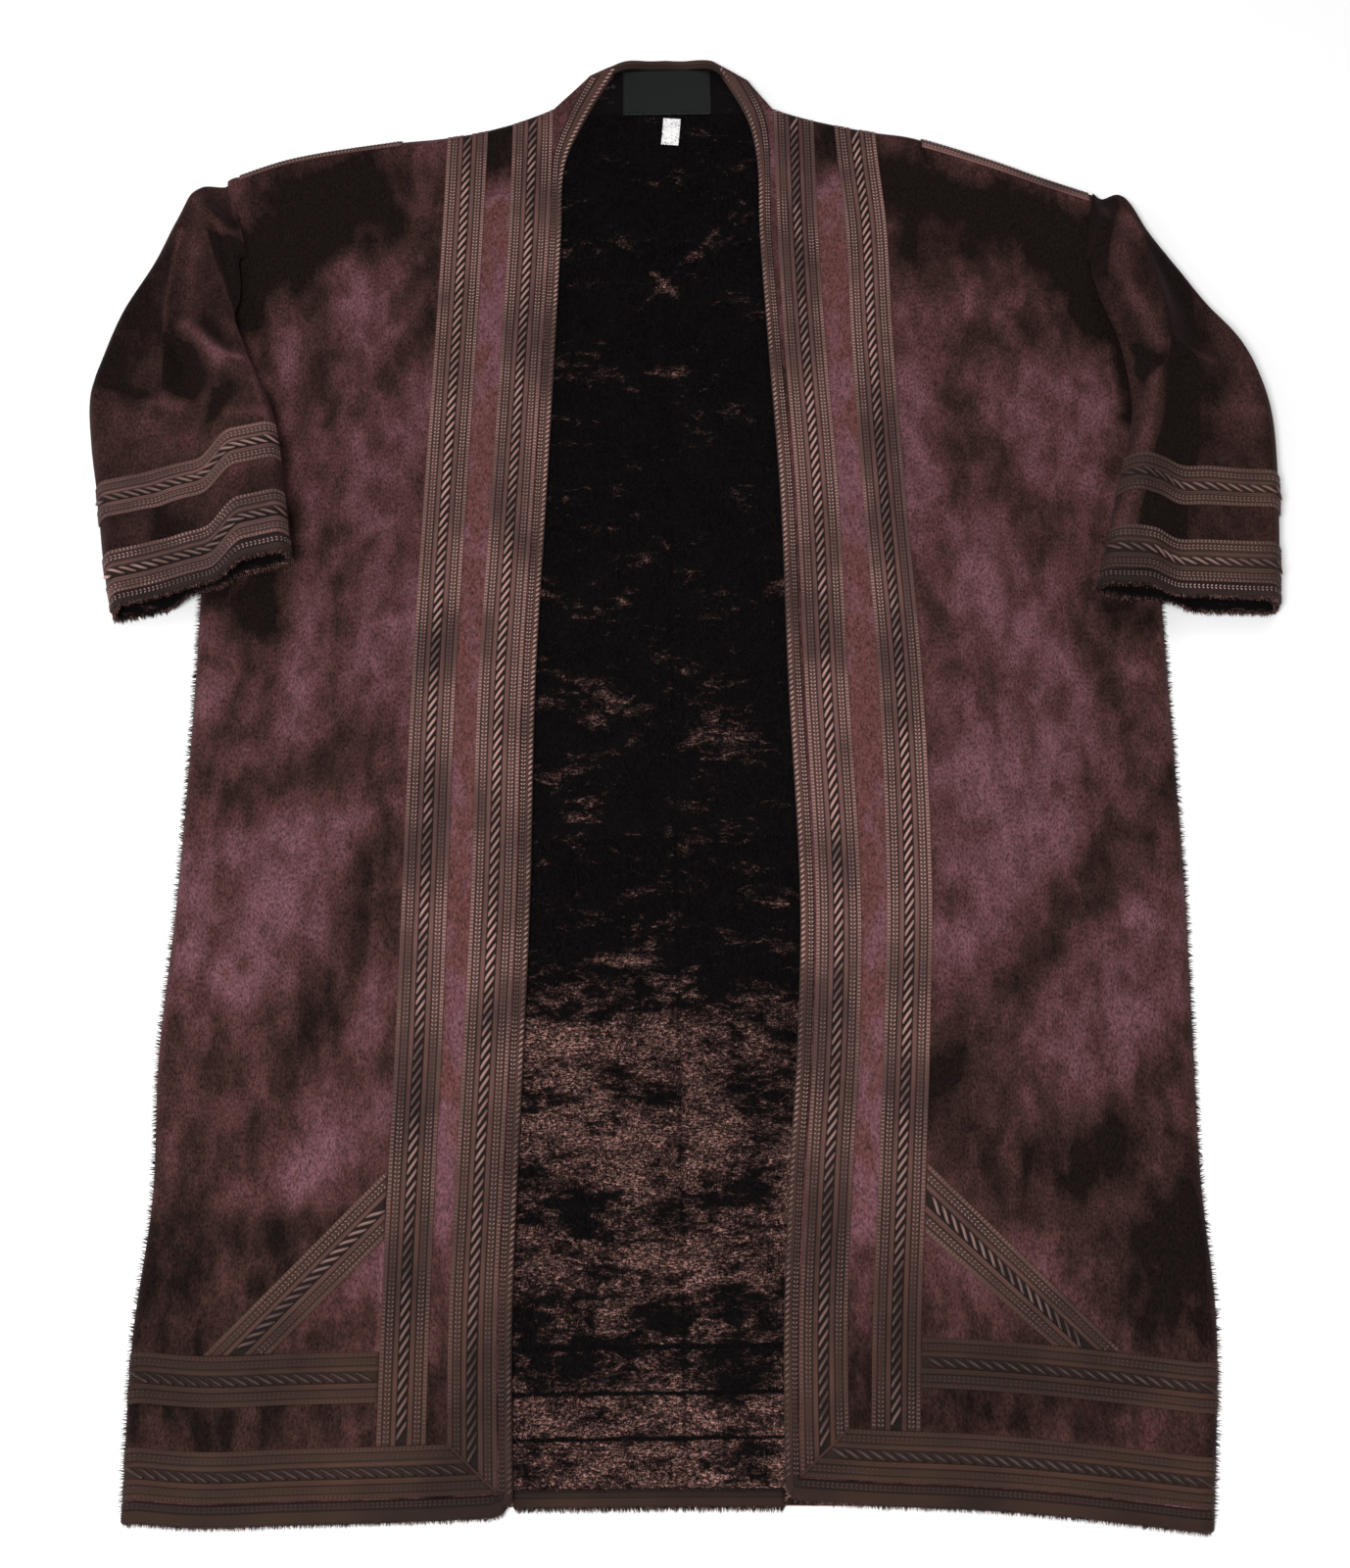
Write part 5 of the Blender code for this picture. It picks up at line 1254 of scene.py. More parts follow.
def make_bindings():
    """The folded tape on each opening and on each front's hem."""
    across = np.array([share for share, _ in BINDING_ACROSS])
    for side in ("left", "right"):
        lines = np.concatenate([np.linspace(0.0, 1.0, 4), np.linspace(1.2, TOP_ROW, 170)])
        share, step = np.meshgrid(across, lines)
        row = np.where(step < 1.0, np.maximum(step, share), step)
        points, normals = faces_and_normals(on_front(side), share, row)
        add_ribbon("edge_tape_" + side, "edge_binding_" + side, points, normals,
                   BINDING_ACROSS, chart_of(points, across, BINDING), binding_yarn, EDGE_WRAP)
        rows = np.linspace(1.0, TOP_ROW, 160)
        for kind, column, shine in (("edge", BINDING_ROW, 1.0), ("whip", 0.06, 0.8)):
            line = np.full(rows.shape, column)
            guides[kind].append((*faces_and_normals(on_front(side), line, rows), shine))
        lines = np.concatenate([np.linspace(0.0, 1.0, 4), np.linspace(1.2, END_COLUMN, 70)])
        share, step = np.meshgrid(across, lines)
        column = np.where(step < 1.0, np.maximum(step, share), step)
        points, normals = faces_and_normals(on_front(side), column, share)
        add_ribbon("hem_tape_" + side, "hem_binding_" + side, points, normals,
                   BINDING_ACROSS, chart_of(points, across, BINDING), hem_edge_yarn, EDGE_WRAP)
        steps = np.linspace(1.0, END_COLUMN, 80)
        line = np.full(steps.shape, BINDING_ROW)
        guides["edge"].append((*faces_and_normals(on_front(side), steps, line), HEM_SHINE))


make_bindings()


def back_band(name, node, start, end, low_edge, band, count, wrap, lift=0.0):
    """A binding on the back, along its hem or its neck edge."""
    across = np.array([share for share, _ in BINDING_ACROSS])
    outs = np.linspace(start, end, count)
    hem, top = back_outline(outs)
    begin = hem if low_edge else top
    up = begin[:, None] + across[None, :] * (band if low_edge else -band)
    high = CLOTH + lift * ease(1.2, 4.6, np.abs(outs))[:, None]
    points = laid("right", outs[:, None], up, high)
    normals = np.zeros_like(points)
    normals[..., 2] = 1.0
    add_ribbon(name, node, points, normals, BINDING_ACROSS,
               chart_of(points, across, band), hem_edge_yarn, wrap)


back_band("back_hem_tape", "back_hem_binding", -12.35, 6.45, True, 1.1, 50, EDGE_WRAP)
back_band("neck_tape", "neck_binding", -4.9, 5.0, False, 0.9, 40, EDGE_WRAP, 0.6)


def shoulder_tape(side, rows_from, rows_to):
    """The tape over the shoulder's roll, of which only the near part shows."""
    kept = [(share / 0.4, height) for share, height in BRAID_ACROSS[:17]] + [(1.0, 0.05)]
    across = np.array([share for share, _ in kept])
    columns_along = np.linspace(6.0, 10.0, 60)
    row, column = np.meshgrid(rows_from + across * (rows_to - rows_from), columns_along)
    points, normals = faces_and_normals(on_front(side), column, row)
    add_ribbon("shoulder_tape_" + side, "shoulder_braid_" + side, points, normals, kept,
               chart_of(points, 0.4 * across, BRAID), braid_yarn)
    for share in (0.12, 0.47):
        line = np.full(columns_along.shape, rows_from + share * (rows_to - rows_from))
        kind = "selvedge" if share < 0.3 else "chevron"
        guides[kind].append((*faces_and_normals(on_front(side), columns_along, line), 0.7))


shoulder_tape("left", 23.3, 25.2)
shoulder_tape("right", 22.95, 25.0)


# The cuffs' bindings. The same folded tape goes round each sleeve's mouth under the last braid,
# stitched with one bright row, and rolls into the mouth where the plush begins.


def make_cuff_tapes():
    across = np.array([share for share, _ in BINDING_ACROSS])
    steps = 0.5 - 0.5 * np.cos(np.pi * np.linspace(0.05, 0.95, 80))
    for side in ("left", "right"):
        row = MOUTH_ROW - across[None, :] * (MOUTH_ROW - 10.05) + 0.0 * steps[:, None]
        points, normals = faces_and_normals(
            lambda s, r: sleeve_face(side, r, s), steps[:, None] + 0.0 * row, row)
        add_ribbon("cuff_tape_" + side, None, points, normals, BINDING_ACROSS,
                   chart_of(points, across, BINDING), cuff_yarn, EDGE_WRAP)
        guides["edge"].append((*faces_and_normals(
            lambda s, r: sleeve_face(side, r, s), steps,
            np.full(steps.shape, MOUTH_ROW - BINDING_ROW * (MOUTH_ROW - 10.05))), 1.2))


# The twisted cord and the rows of stitches on the braids. The cord is four strands of satin
# yarn that dive under its rims, painted lighter on top as a highlight and darker where they
# dive as painted shade; the herringbone rows are pairs of slanting stitches, each painted a
# little bright on top as a highlight. Both repeat at a fixed pitch along their own line.


def line_of_stitches(name, arms, segments, rings):
    """A tree that lays a leaning stitch, or a pair, at a pitch along each line of its guide."""
    tree = bpy.data.node_groups.new(name, "GeometryNodeTree")
    tree.interface.new_socket(name="Geometry", in_out="INPUT", socket_type="NodeSocketGeometry")
    for key in ("Pitch", "Length", "Width", "Height", "Swing", "Crown", "Lean", "Spread", "Lift"):
        tree.interface.new_socket(name=key, in_out="INPUT", socket_type="NodeSocketFloat")
    tree.interface.new_socket(name="Finish", in_out="INPUT", socket_type="NodeSocketMaterial")
    tree.interface.new_socket(name="Geometry", in_out="OUTPUT",
                              socket_type="NodeSocketGeometry")
    given = tree.nodes.new("NodeGroupInput").outputs
    result = tree.nodes.new("NodeGroupOutput")
    grain = put(tree, "GeometryNodeMeshUVSphere", {"Segments": segments, "Rings": rings,
                                                   "Radius": 0.5})
    place = put(tree, "GeometryNodeInputPosition")
    at = put(tree, "ShaderNodeSeparateXYZ", {"Vector": place.outputs["Position"]}).outputs
    turn = maths(tree, "MULTIPLY", at["X"], math.pi)
    bent = put(tree, "ShaderNodeCombineXYZ", {
        "X": maths(tree, "MULTIPLY", at["X"], given["Length"]),
        "Y": maths(tree, "ADD", maths(tree, "MULTIPLY", at["Y"], given["Width"]), maths(
            tree, "MULTIPLY", maths(tree, "SINE", turn), given["Swing"])),
        "Z": maths(tree, "ADD", maths(tree, "MULTIPLY", at["Z"], given["Height"]), maths(
            tree, "MULTIPLY", maths(tree, "COSINE", turn), given["Crown"]))})
    marked = put(tree, "GeometryNodeStoreNamedAttribute", {
        "Geometry": grain.outputs["Mesh"], "Name": "strand", "Value": place.outputs["Position"]},
        data_type="FLOAT_VECTOR", domain="POINT")
    sized = put(tree, "GeometryNodeSetPosition", {"Geometry": marked.outputs["Geometry"],
                                                  "Position": bent.outputs["Vector"]})
    joined = tree.nodes.new("GeometryNodeJoinGeometry")
    for arm in arms:
        lean = maths(tree, "MULTIPLY", given["Lean"], float(arm))
        turn = put(tree, "ShaderNodeCombineXYZ", {"Z": lean})
        aside = maths(tree, "MULTIPLY", given["Spread"], float(arm))
        move = put(tree, "ShaderNodeCombineXYZ", {"Y": aside, "Z": given["Lift"]})
        turned = put(tree, "GeometryNodeTransform", {
            "Geometry": sized.outputs["Geometry"], "Rotation": turn.outputs["Vector"],
            "Translation": move.outputs["Vector"]})
        tree.links.new(turned.outputs["Geometry"], joined.inputs["Geometry"])
    curve = put(tree, "GeometryNodeMeshToCurve", {"Mesh": given["Geometry"]})
    spaced = put(tree, "GeometryNodeResampleCurve", {"Curve": curve.outputs["Curve"],
                                                     "Length": given["Pitch"]}, mode="LENGTH")
    face = put(tree, "GeometryNodeInputNamedAttribute", {"Name": "face"},
               data_type="FLOAT_VECTOR")
    along = put(tree, "GeometryNodeInputTangent")
    turn = put(tree, "FunctionNodeAxesToRotation", {
        "Primary Axis": face.outputs["Attribute"], "Secondary Axis": along.outputs["Tangent"]},
        primary_axis="Z", secondary_axis="X")
    laid_out = put(tree, "GeometryNodeInstanceOnPoints", {
        "Points": spaced.outputs["Curve"], "Instance": joined.outputs["Geometry"],
        "Rotation": turn.outputs["Rotation"]})
    real = put(tree, "GeometryNodeRealizeInstances", {"Geometry": laid_out.outputs["Instances"]})
    smooth = put(tree, "GeometryNodeSetShadeSmooth", {"Geometry": real.outputs["Geometry"]})
    last = put(tree, "GeometryNodeSetMaterial", {"Geometry": smooth.outputs["Geometry"],
                                                 "Material": given["Finish"]})
    tree.links.new(last.outputs["Geometry"], result.inputs["Geometry"])
    return tree


def shortened(line, cut):
    """A line of places and directions with some centimetres taken off each end."""
    points, normals, shine = line
    run = np.concatenate([[0.0], np.cumsum(np.linalg.norm(np.diff(points, axis=0), axis=-1))])
    at = np.linspace(cut * CM, run[-1] - cut * CM, len(points))
    points, normals = (np.stack([np.interp(at, run, values[:, axis]) for axis in range(3)],
                                axis=-1) for values in (points, normals))
    return points, normals, shine * (0.28 + 0.72 * unworn(measured(points)[1]))


def guide_object(name, lines, cut):
    """Lines as one mesh of edges that carries the cloth's direction at each point."""
    lines = [shortened(line, cut) for line in lines]
    points = np.concatenate([line[0] for line in lines])
    normals = np.concatenate([line[1] for line in lines])
    edges, start = [], 0
    for line in lines:
        edges += [(start + k, start + k + 1) for k in range(len(line[0]) - 1)]
        start += len(line[0])
    mesh = bpy.data.meshes.new(name)
    mesh.from_pydata(points.tolist(), edges, [])
    face = mesh.attributes.new("face", "FLOAT_VECTOR", "POINT")
    face.data.foreach_set("vector", normals.astype(np.float32).ravel())
    shine = mesh.attributes.new("shine", "FLOAT", "POINT")
    shine.data.foreach_set("value", np.concatenate([line[2] for line in lines]).astype(np.float32))
    guide = bpy.data.objects.new(name, mesh)
    bpy.context.collection.objects.link(guide)
    return guide


def grown(name, tree, guide, values):
    """The plain mesh that a tree makes of its guide, as a piece of the cloak."""
    maker = guide.modifiers.new("grow", "NODES")
    maker.node_group = tree
    for item in tree.interface.items_tree:
        if item.in_out == "INPUT" and item.name in values:
            maker[item.identifier] = values[item.name]
    depsgraph = bpy.context.evaluated_depsgraph_get()
    mesh = bpy.data.meshes.new_from_object(guide.evaluated_get(depsgraph))
    guide.modifiers.remove(maker)
    bpy.data.objects.remove(guide)
    mesh.name = name
    piece = bpy.data.objects.new(name, mesh)
    bpy.context.collection.objects.link(piece)
    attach(piece, "root")
    return piece


def strand_finish(name, dark, light, rough, stripes):
    """Satin yarn: fine fibres along each strand, painted lighter on top as a highlight and darker
    where it dives as painted shade.
    """
    finish, tree, shader = new_finish(name, Roughness=rough, Sheen_Weight=0.04,
                                      Sheen_Roughness=0.3, Specular_IOR_Level=0.25)
    shader.inputs["Sheen Tint"].default_value = (0.80, 0.62, 0.60, 1.0)
    strand = put(tree, "ShaderNodeAttribute", attribute_name="strand")
    split = put(tree, "ShaderNodeSeparateXYZ", {"Vector": strand.outputs["Vector"]})
    across = maths(tree, "SINE", maths(tree, "MULTIPLY", split.outputs["Y"], stripes))
    # Each strand is painted light on top as its highlight and dark at its ends as painted shade
    # where it dives.
    ends = maths(tree, "MULTIPLY", maths(tree, "ABSOLUTE", split.outputs["X"]), 2.0)
    top = maths(tree, "ADD", maths(tree, "MULTIPLY", split.outputs["Z"], 1.6), 0.15, clamp=True)
    share = maths(tree, "SUBTRACT", top, maths(tree, "MULTIPLY", maths(
        tree, "POWER", ends, 3.0), 0.35), clamp=True)
    lined = maths(tree, "MULTIPLY", share, maths(tree, "ADD", maths(
        tree, "MULTIPLY", across, 0.12), 0.88))
    place = put(tree, "ShaderNodeTexCoord").outputs["Object"]
    wear = put(tree, "ShaderNodeTexNoise", {"Vector": place, "Scale": 15.0, "Detail": 3.0})
    shine = put(tree, "ShaderNodeAttribute", attribute_name="shine").outputs["Fac"]
    varied = maths(tree, "MULTIPLY", lined, ramp(
        tree, wear.outputs["Fac"], [(0.40, (0.20,)), (0.58, (1.0,))]))
    varied = maths(tree, "MULTIPLY", varied, shine, clamp=True)
    tree.links.new(mix_colour(tree, varied, dark, light), shader.inputs["Base Color"])
    bump = put(tree, "ShaderNodeBump", {"Strength": 0.4, "Distance": 0.0003, "Height": across})
    tree.links.new(bump.outputs["Normal"], shader.inputs["Normal"])
    return finish


# The light colours are painted highlights on the tops of the cord's strands and of the stitches.
cord_satin = strand_finish("satin cord", (0.016, 0.0075, 0.0060), (0.54, 0.310, 0.275), 0.42, 30.0)
stitch_yarn = strand_finish("herringbone yarn", (0.026, 0.0120, 0.0095), (0.62, 0.370, 0.330),
                            0.6, 14.0)


def make_stitches():
    cord = line_of_stitches("twisted cord", [-1.0], 14, 6)
    pair = line_of_stitches("herringbone row", [1.0, -1.0], 4, 3)
    grown("braid_cords", cord, guide_object("cord lines", guides["rope"], 1.0), {
        "Pitch": 0.0087, "Length": 0.0156, "Width": 0.0030, "Height": 0.0022, "Swing": -0.0031,
        "Crown": 0.0009, "Lean": 0.0, "Spread": 0.0, "Lift": 0.0012, "Finish": cord_satin})
    grown("edge_whipping", cord, guide_object("whipped lines", guides["whip"], 0.2), {
        "Pitch": 0.0046, "Length": 0.0052, "Width": 0.0019, "Height": 0.0016, "Swing": 0.0,
        "Crown": 0.0, "Lean": 0.8, "Spread": 0.0, "Lift": 0.0014, "Finish": stitch_yarn})
    for name, kind, pitch, spread, length, lift in (
            ("braid_herringbone", "chevron", 0.0033, 0.00135, 0.0034, 0.0013),
            ("braid_selvedge", "selvedge", 0.0030, 0.0006, 0.0020, 0.0013),
            ("binding_herringbone", "edge", 0.0033, 0.0011, 0.0030, 0.0015)):
        grown(name, pair, guide_object(kind + " lines", guides[kind], 0.3), {
            "Pitch": pitch, "Length": length, "Width": 0.0015, "Height": 0.0010, "Swing": 0.0,
            "Crown": 0.0, "Lean": 0.75, "Spread": spread, "Lift": lift, "Finish": stitch_yarn})


make_cuff_tapes()
make_stitches()

# The pile of the lining. Short tufts of plush stand on the back where the cloak lies open, and
# along the hem and the mouths of the sleeves. Pressed by folding, they lie in swirls.


def pile_tree():
    """A tree that plants leaning tufts on the faces of its guide."""
    tree = bpy.data.node_groups.new("plush tufts", "GeometryNodeTree")
    tree.interface.new_socket(name="Geometry", in_out="INPUT", socket_type="NodeSocketGeometry")
    for key in ("Density", "Length", "Thickness", "Swirl Scale", "Upright"):
        tree.interface.new_socket(name=key, in_out="INPUT", socket_type="NodeSocketFloat")
    tree.interface.new_socket(name="Seed", in_out="INPUT", socket_type="NodeSocketInt")
    tree.interface.new_socket(name="Finish", in_out="INPUT", socket_type="NodeSocketMaterial")
    tree.interface.new_socket(name="Geometry", in_out="OUTPUT",
                              socket_type="NodeSocketGeometry")
    given = tree.nodes.new("NodeGroupInput").outputs
    result = tree.nodes.new("NodeGroupOutput")
    spread = put(tree, "GeometryNodeDistributePointsOnFaces", {
        "Mesh": given["Geometry"], "Density": given["Density"], "Seed": given["Seed"]})
    place = put(tree, "GeometryNodeInputPosition").outputs["Position"]
    swirl = put(tree, "ShaderNodeTexNoise", {"Vector": place, "Scale": given["Swirl Scale"],
                                             "Detail": 3.0, "Distortion": 0.6})
    fine = put(tree, "ShaderNodeTexNoise", {"Vector": place, "Scale": 260.0, "Detail": 1.0})
    sway = put(tree, "ShaderNodeVectorMath", {0: swirl.outputs["Color"], 1: (0.5, 0.5, 0.5)},
               operation="SUBTRACT")
    sway = put(tree, "ShaderNodeVectorMath", {0: sway.outputs["Vector"], 1: (6.0, 6.0, 0.0)},
               operation="MULTIPLY")
    jitter = put(tree, "ShaderNodeVectorMath", {0: fine.outputs["Color"], 1: (0.5, 0.5, 0.5)},
                 operation="SUBTRACT")
    jitter = put(tree, "ShaderNodeVectorMath", {0: jitter.outputs["Vector"],
                                                1: (2.4, 2.4, 1.2)}, operation="MULTIPLY")
    upright = put(tree, "ShaderNodeVectorMath", {0: spread.outputs["Normal"]},
                  operation="SCALE")
    tree.links.new(given["Upright"], upright.inputs["Scale"])
    lay = put(tree, "ShaderNodeVectorMath", {0: sway.outputs["Vector"],
                                             1: jitter.outputs["Vector"]}, operation="ADD")
    lay = put(tree, "ShaderNodeVectorMath", {0: lay.outputs["Vector"],
                                             1: upright.outputs["Vector"]}, operation="ADD")
    turn = put(tree, "FunctionNodeAxesToRotation", {
        "Primary Axis": lay.outputs["Vector"], "Secondary Axis": fine.outputs["Color"]},
        primary_axis="Z", secondary_axis="X")
    tuft = put(tree, "GeometryNodeMeshCone", {
        "Vertices": 3, "Radius Top": 0.0, "Radius Bottom": given["Thickness"],
        "Depth": given["Length"]}, fill_type="NONE")
    local = put(tree, "GeometryNodeInputPosition").outputs["Position"]
    rise = put(tree, "ShaderNodeSeparateXYZ", {"Vector": local}).outputs["Z"]
    tip = maths(tree, "DIVIDE", rise, given["Length"])
    marked = put(tree, "GeometryNodeStoreNamedAttribute", {
        "Geometry": tuft.outputs["Mesh"], "Name": "tip", "Value": tip},
        data_type="FLOAT", domain="POINT")
    size = put(tree, "FunctionNodeRandomValue", {"Min": (0.7, 0.7, 0.6), "Max": (1.2, 1.2, 1.3),
                                                 "Seed": given["Seed"]},
               data_type="FLOAT_VECTOR")
    tone = put(tree, "FunctionNodeRandomValue", {2: 0.0, 3: 1.0, "Seed": given["Seed"]},
               data_type="FLOAT")
    kept = put(tree, "GeometryNodeStoreNamedAttribute", {
        "Geometry": spread.outputs["Points"], "Name": "tone", "Value": tone.outputs[1]},
        data_type="FLOAT", domain="POINT")
    planted = put(tree, "GeometryNodeInstanceOnPoints", {
        "Points": kept.outputs["Geometry"], "Instance": marked.outputs["Geometry"],
        "Rotation": turn.outputs["Rotation"], "Scale": size.outputs[0]})
    real = put(tree, "GeometryNodeRealizeInstances", {"Geometry": planted.outputs["Instances"]})
    last = put(tree, "GeometryNodeSetMaterial", {"Geometry": real.outputs["Geometry"],
                                                 "Material": given["Finish"]})
    tree.links.new(last.outputs["Geometry"], result.inputs["Geometry"])
    return tree


def open_patch(name, low_share, high_share):
    """The part of the back that shows between the fronts, as a guide for its tufts."""
    rise, share = np.meshgrid(np.linspace(low_share, high_share, 340),
                              np.linspace(0.0, 1.0, 70), indexing="ij")
    up = 0.3 + rise * 118.5
    left, right = -line_out("left", "edge", up) - 0.1, line_out("right", "edge", up) + 0.1
    out = left + share * (right - left)
    hem, top = back_outline(out)
    up = np.clip(up, hem + 0.2, top - 0.4)
    points = laid("right", out, up, CLOTH + 0.02)
    return pile_guide(name, points, lining_pile_and_sheen(out, up))


def pile_guide(name, points, pressed_and_sheen, toward=(0.0, 0.0, 1.0)):
    """A sheet of faces that only says where tufts stand and how pressed they are, with the sheen
    painted on pressed pile.
    """
    mesh = bpy.data.meshes.new(name)
    facing = np.cross(points[1:, :-1] - points[:-1, :-1], points[:-1, 1:] - points[:-1, :-1])
    flipped = float(np.sum(facing * np.asarray(toward))) > 0.0
    faces = grid_faces(*points.shape[:2])[:, ::-1 if flipped else 1]
    mesh.from_pydata(points.reshape(-1, 3).tolist(), [],
                     [tuple(int(v) for v in face) for face in faces])
    mark = mesh.attributes.new("tone_and_painted_light", "FLOAT", "POINT")
    mark.data.foreach_set("value", np.asarray(pressed_and_sheen, np.float32).ravel())
    guide = bpy.data.objects.new(name, mesh)
    bpy.context.collection.objects.link(guide)
    return guide


def mouth_rim(side):
    """The rim between the two faces of the cloth all round a sleeve's mouth."""
    around = np.linspace(0.0, 1.0, 80)
    rims = []
    for inner in (False, True):
        top = sleeve_face(side, np.full(80, MOUTH_ROW), around, True, inner)
        low = sleeve_face(side, np.full(80, MOUTH_ROW), around, False, inner)[::-1]
        rims.append(np.concatenate([top, low]))
    return np.stack(rims)


def hem_rim(side):
    """The rim of a front's hem, below its binding."""
    across = np.linspace(0.3, END_COLUMN, 120)
    edge = front_face(side, across, np.zeros(120))
    inside = front_face(side, across, np.zeros(120), inner=True)
    return np.stack([inside, edge])


def side_rim(side):
    """Along a front's rolled side, where a little pile stands out under it."""
    rows = np.linspace(0.5, FLAT_ROWS - 7.5, 200)
    edge = front_face(side, np.full(200, FLAT_COLUMNS + 2.8), rows)
    return np.stack([edge * (1.0, 1.0, 0.2), edge])


def back_rim():
    """The rim of the back's hem, where the cloak lies open."""
    outs = np.linspace(-12.3, 6.4, 60)
    hem = back_outline(outs)[0] - 0.12
    return np.stack([laid("right", outs, hem, 0.1), laid("right", outs, hem, CLOTH)])


PILE = pile_tree()
for name, low_share, high_share in (("pile_low", 0.0, 0.42), ("pile_high", 0.42, 1.0)):
    grown(name, PILE, open_patch(name, low_share, high_share), {
        "Density": 420000.0 if name == "pile_low" else 300000.0, "Length": 0.0036,
        "Thickness": 0.00055, "Swirl Scale": 26.0, "Upright": 0.9, "Seed": 4,
        "Finish": plush_tufts})
for name, rim, toward in (("cuff_fringe_left", mouth_rim("left"), (0.0, -1.0, 0.0)),
                          ("cuff_fringe_right", mouth_rim("right"), (0.0, -1.0, 0.0)),
                          ("hem_fringe_left", hem_rim("left"), (0.0, -1.0, 0.0)),
                          ("hem_fringe_right", hem_rim("right"), (0.0, -1.0, 0.0)),
                          ("hem_fringe_back", back_rim(), (0.0, -1.0, 0.0)),
                          ("side_fringe_left", side_rim("left"), (-1.0, 0.0, 0.0)),
                          ("side_fringe_right", side_rim("right"), (1.0, 0.0, 0.0))):
    guide = pile_guide(name, rim, np.full(rim.shape[:2], 0.6), toward)
    grown(name, PILE, guide, {
        "Density": 900000.0, "Length": 0.0042, "Thickness": 0.00045, "Swirl Scale": 90.0,
        "Upright": 2.2, "Seed": 9, "Finish": plush_tufts})


# The two labels. A black woven label is sewn inside the back of the neck along its folded ends,
# and a small white care tape hangs below it. Both are left bare here.
LABEL_OUT, LABEL_UP, LABEL_WIDE, LABEL_HIGH = 0.0, 121.0, 7.7, 4.7
CARE_OUT, CARE_UP, CARE_WIDE, CARE_HIGH = 0.3, 116.8, 1.5, 2.8
CARE_TURN = math.radians(-5.0)


def label_finish(name, colour, light, rough, scale):
    finish, tree, shader = new_finish(name, Specular_IOR_Level=0.20, Sheen_Weight=0.02)
    place = put(tree, "ShaderNodeTexCoord").outputs["Object"]
    wide = put(tree, "ShaderNodeMapping", {"Vector": place, "Scale": (1.0, scale, 1.0)})
    weave = put(tree, "ShaderNodeTexNoise", {"Vector": wide.outputs["Vector"], "Scale": 700.0,
                                             "Detail": 2.0})
    tree.links.new(mix_colour(tree, weave.outputs["Fac"], colour, light),
                   shader.inputs["Base Color"])
    tree.links.new(maths(tree, "ADD", rough, maths(tree, "MULTIPLY", weave.outputs["Fac"], 0.1)),
                   shader.inputs["Roughness"])
    bump = put(tree, "ShaderNodeBump", {"Strength": 0.12, "Distance": 0.0001,
                                        "Height": weave.outputs["Fac"]})
    tree.links.new(bump.outputs["Normal"], shader.inputs["Normal"])
    return finish


def make_label(name, node, centre, wide, high, turn, lift, finish):
    across, along = np.meshgrid(np.linspace(-0.5, 0.5, 40), np.linspace(-0.5, 0.5, 30))
    swell = lift * (1.0 - (2.0 * np.abs(across)) ** 4) * (0.6 + 0.4 * np.cos(5.0 * along))
    hemmed = 0.03 * (np.abs(across) > 0.47) + 0.03 * (np.abs(along) > 0.45)
    x, y = across * wide, along * high
    out = centre[0] + x * math.cos(turn) - y * math.sin(turn)
    up = centre[1] + x * math.sin(turn) + y * math.cos(turn)
    base = CLOTH + SEWN_GAP + 0.05
    top = laid("right", out, up, base + 0.05 + swell + hemmed)
    bottom = laid("right", out, up, base + swell)
    piece = add_wall(name, top, bottom, [finish])
    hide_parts(node)
    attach(piece, "root")


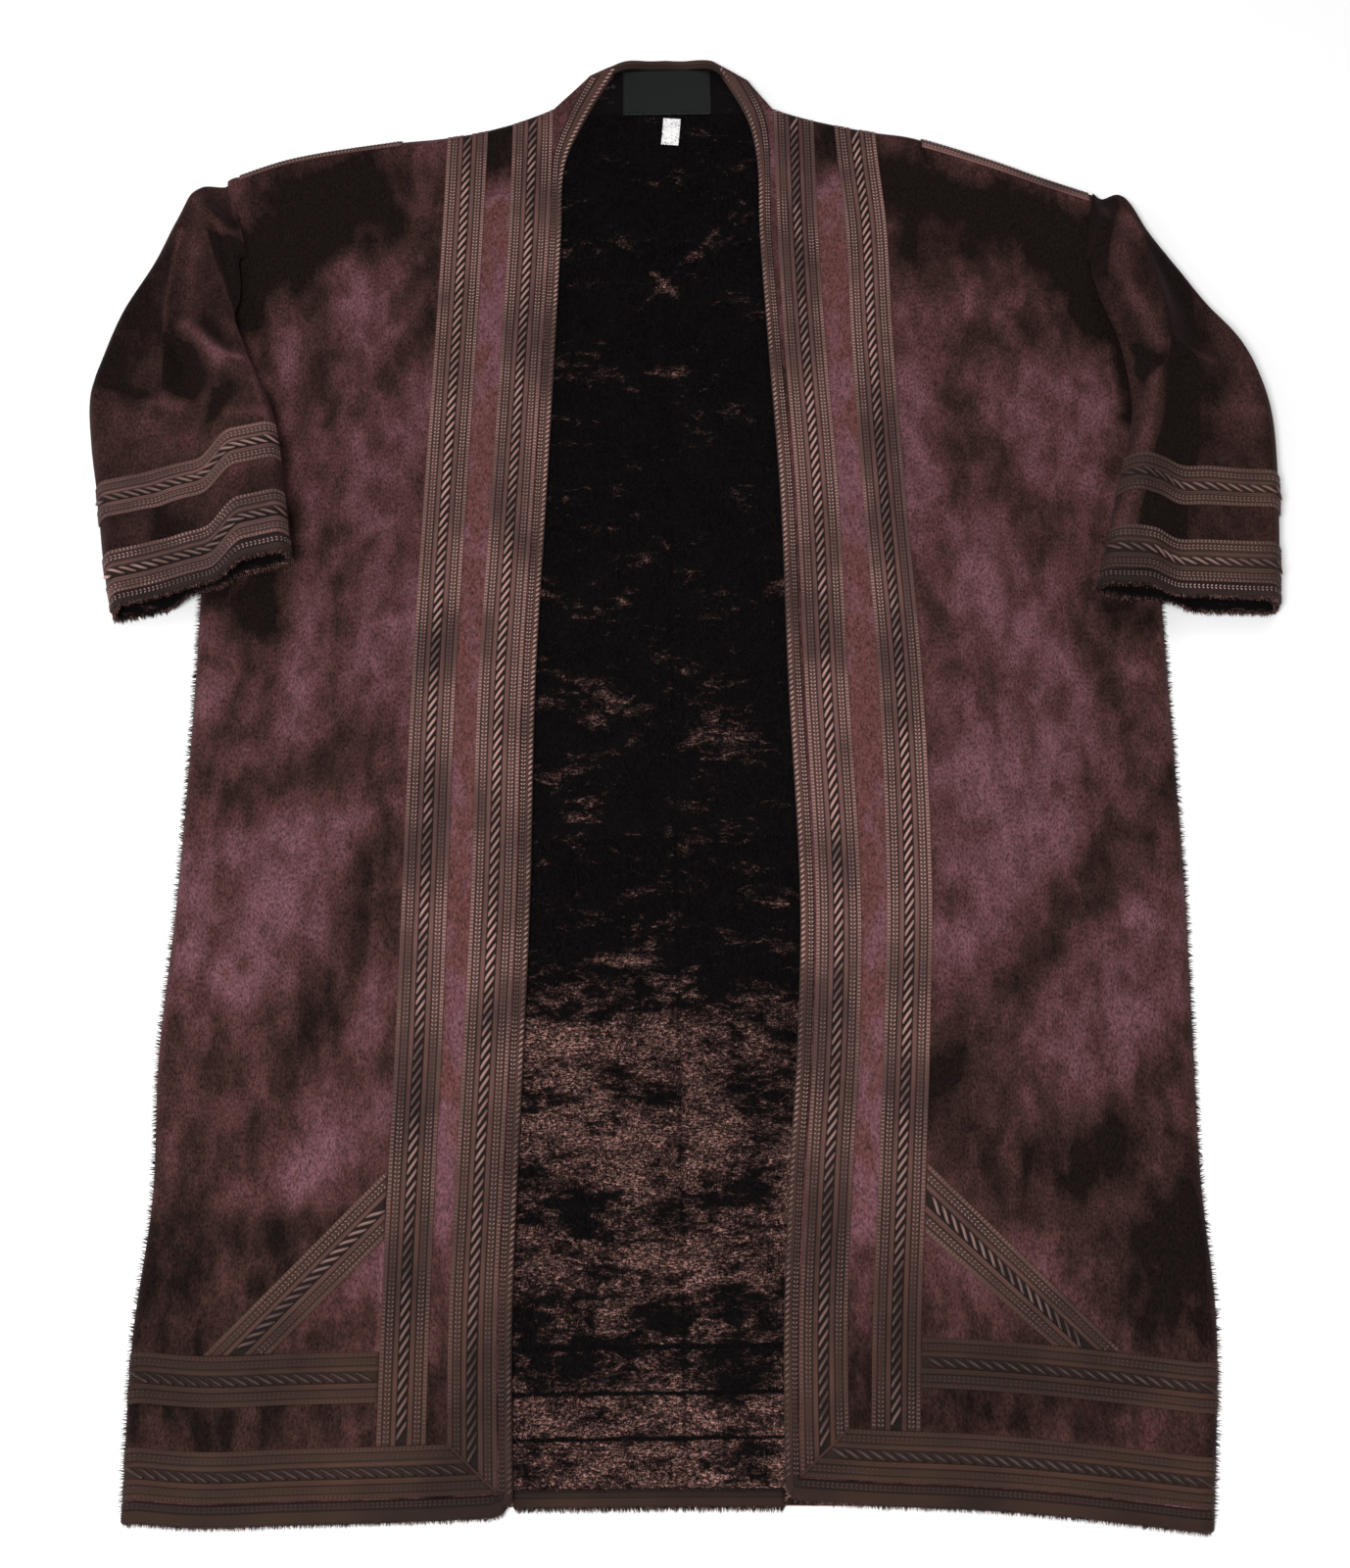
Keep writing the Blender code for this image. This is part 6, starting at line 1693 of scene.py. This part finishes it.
label_satin = label_finish("black label satin", (0.0022, 0.0026, 0.0026), (0.0055, 0.0062, 0.0062),
                           0.50, 8.0)
care_satin = label_finish("white care tape", (0.80, 0.79, 0.77), (0.86, 0.85, 0.84), 0.45, 6.0)
make_label("woven_label", "neck_label", (LABEL_OUT, LABEL_UP), LABEL_WIDE, LABEL_HIGH, 0.0,
           0.08, label_satin)
make_label("care_tape", "care_label", (CARE_OUT, CARE_UP), CARE_WIDE, CARE_HIGH, CARE_TURN,
           0.06, care_satin)


def stage():
    """A plain pale floor, soft studio light and the camera at the photograph's angle."""
    mesh = bpy.data.meshes.new("floor")
    mesh.from_pydata([(-6.0, -6.0, -0.0005), (6.0, -6.0, -0.0005), (6.0, 6.0, -0.0005),
                      (-6.0, 6.0, -0.0005)], [], [(0, 1, 2, 3)])
    finish, tree, shader = new_finish("pale floor", Roughness=0.9, Specular_IOR_Level=0.1)
    shader.inputs["Base Color"].default_value = (0.93, 0.93, 0.93, 1.0)
    mesh.materials.append(finish)
    floor = bpy.data.objects.new("floor", mesh)
    bpy.context.collection.objects.link(floor)
    for name, place, size, power, aim in (
            ("key light", (-0.5, -1.4, 2.8), 1.0, 94.0, (0.0, 0.0, 0.0)),
            ("far light", (0.9, 1.7, 2.4), 1.4, 12.0, (0.0, 0.1, 0.0)),
            ("side light", (-2.4, 0.4, 1.5), 1.2, 13.0, (0.0, 0.0, 0.0))):
        lamp = bpy.data.lights.new(name, "AREA")
        lamp.energy = power
        lamp.shape = "DISK"
        lamp.size = size
        made = bpy.data.objects.new(name, lamp)
        made.location = place
        down = [aim[k] - place[k] for k in range(3)]
        turn = math.atan2(down[1], down[0])
        made.rotation_euler = (math.atan2(math.hypot(down[0], down[1]), -down[2]), 0.0,
                               turn - math.pi / 2.0)
        bpy.context.collection.objects.link(made)
    world = bpy.data.worlds.new("studio")
    world.use_nodes = True
    world.node_tree.nodes["Background"].inputs["Color"].default_value = (1.0, 1.0, 1.0, 1.0)
    world.node_tree.nodes["Background"].inputs["Strength"].default_value = 0.34
    bpy.context.scene.world = world
    lens = bpy.data.cameras.new("camera")
    lens.lens = 65.25
    lens.sensor_width = 36.0
    camera = bpy.data.objects.new("camera", lens)
    camera.location = (-0.0241, -0.9930, 2.0)
    camera.rotation_euler = (math.radians(25.0), 0.0, math.radians(-0.89))
    bpy.context.collection.objects.link(camera)
    bpy.context.scene.camera = camera


stage()
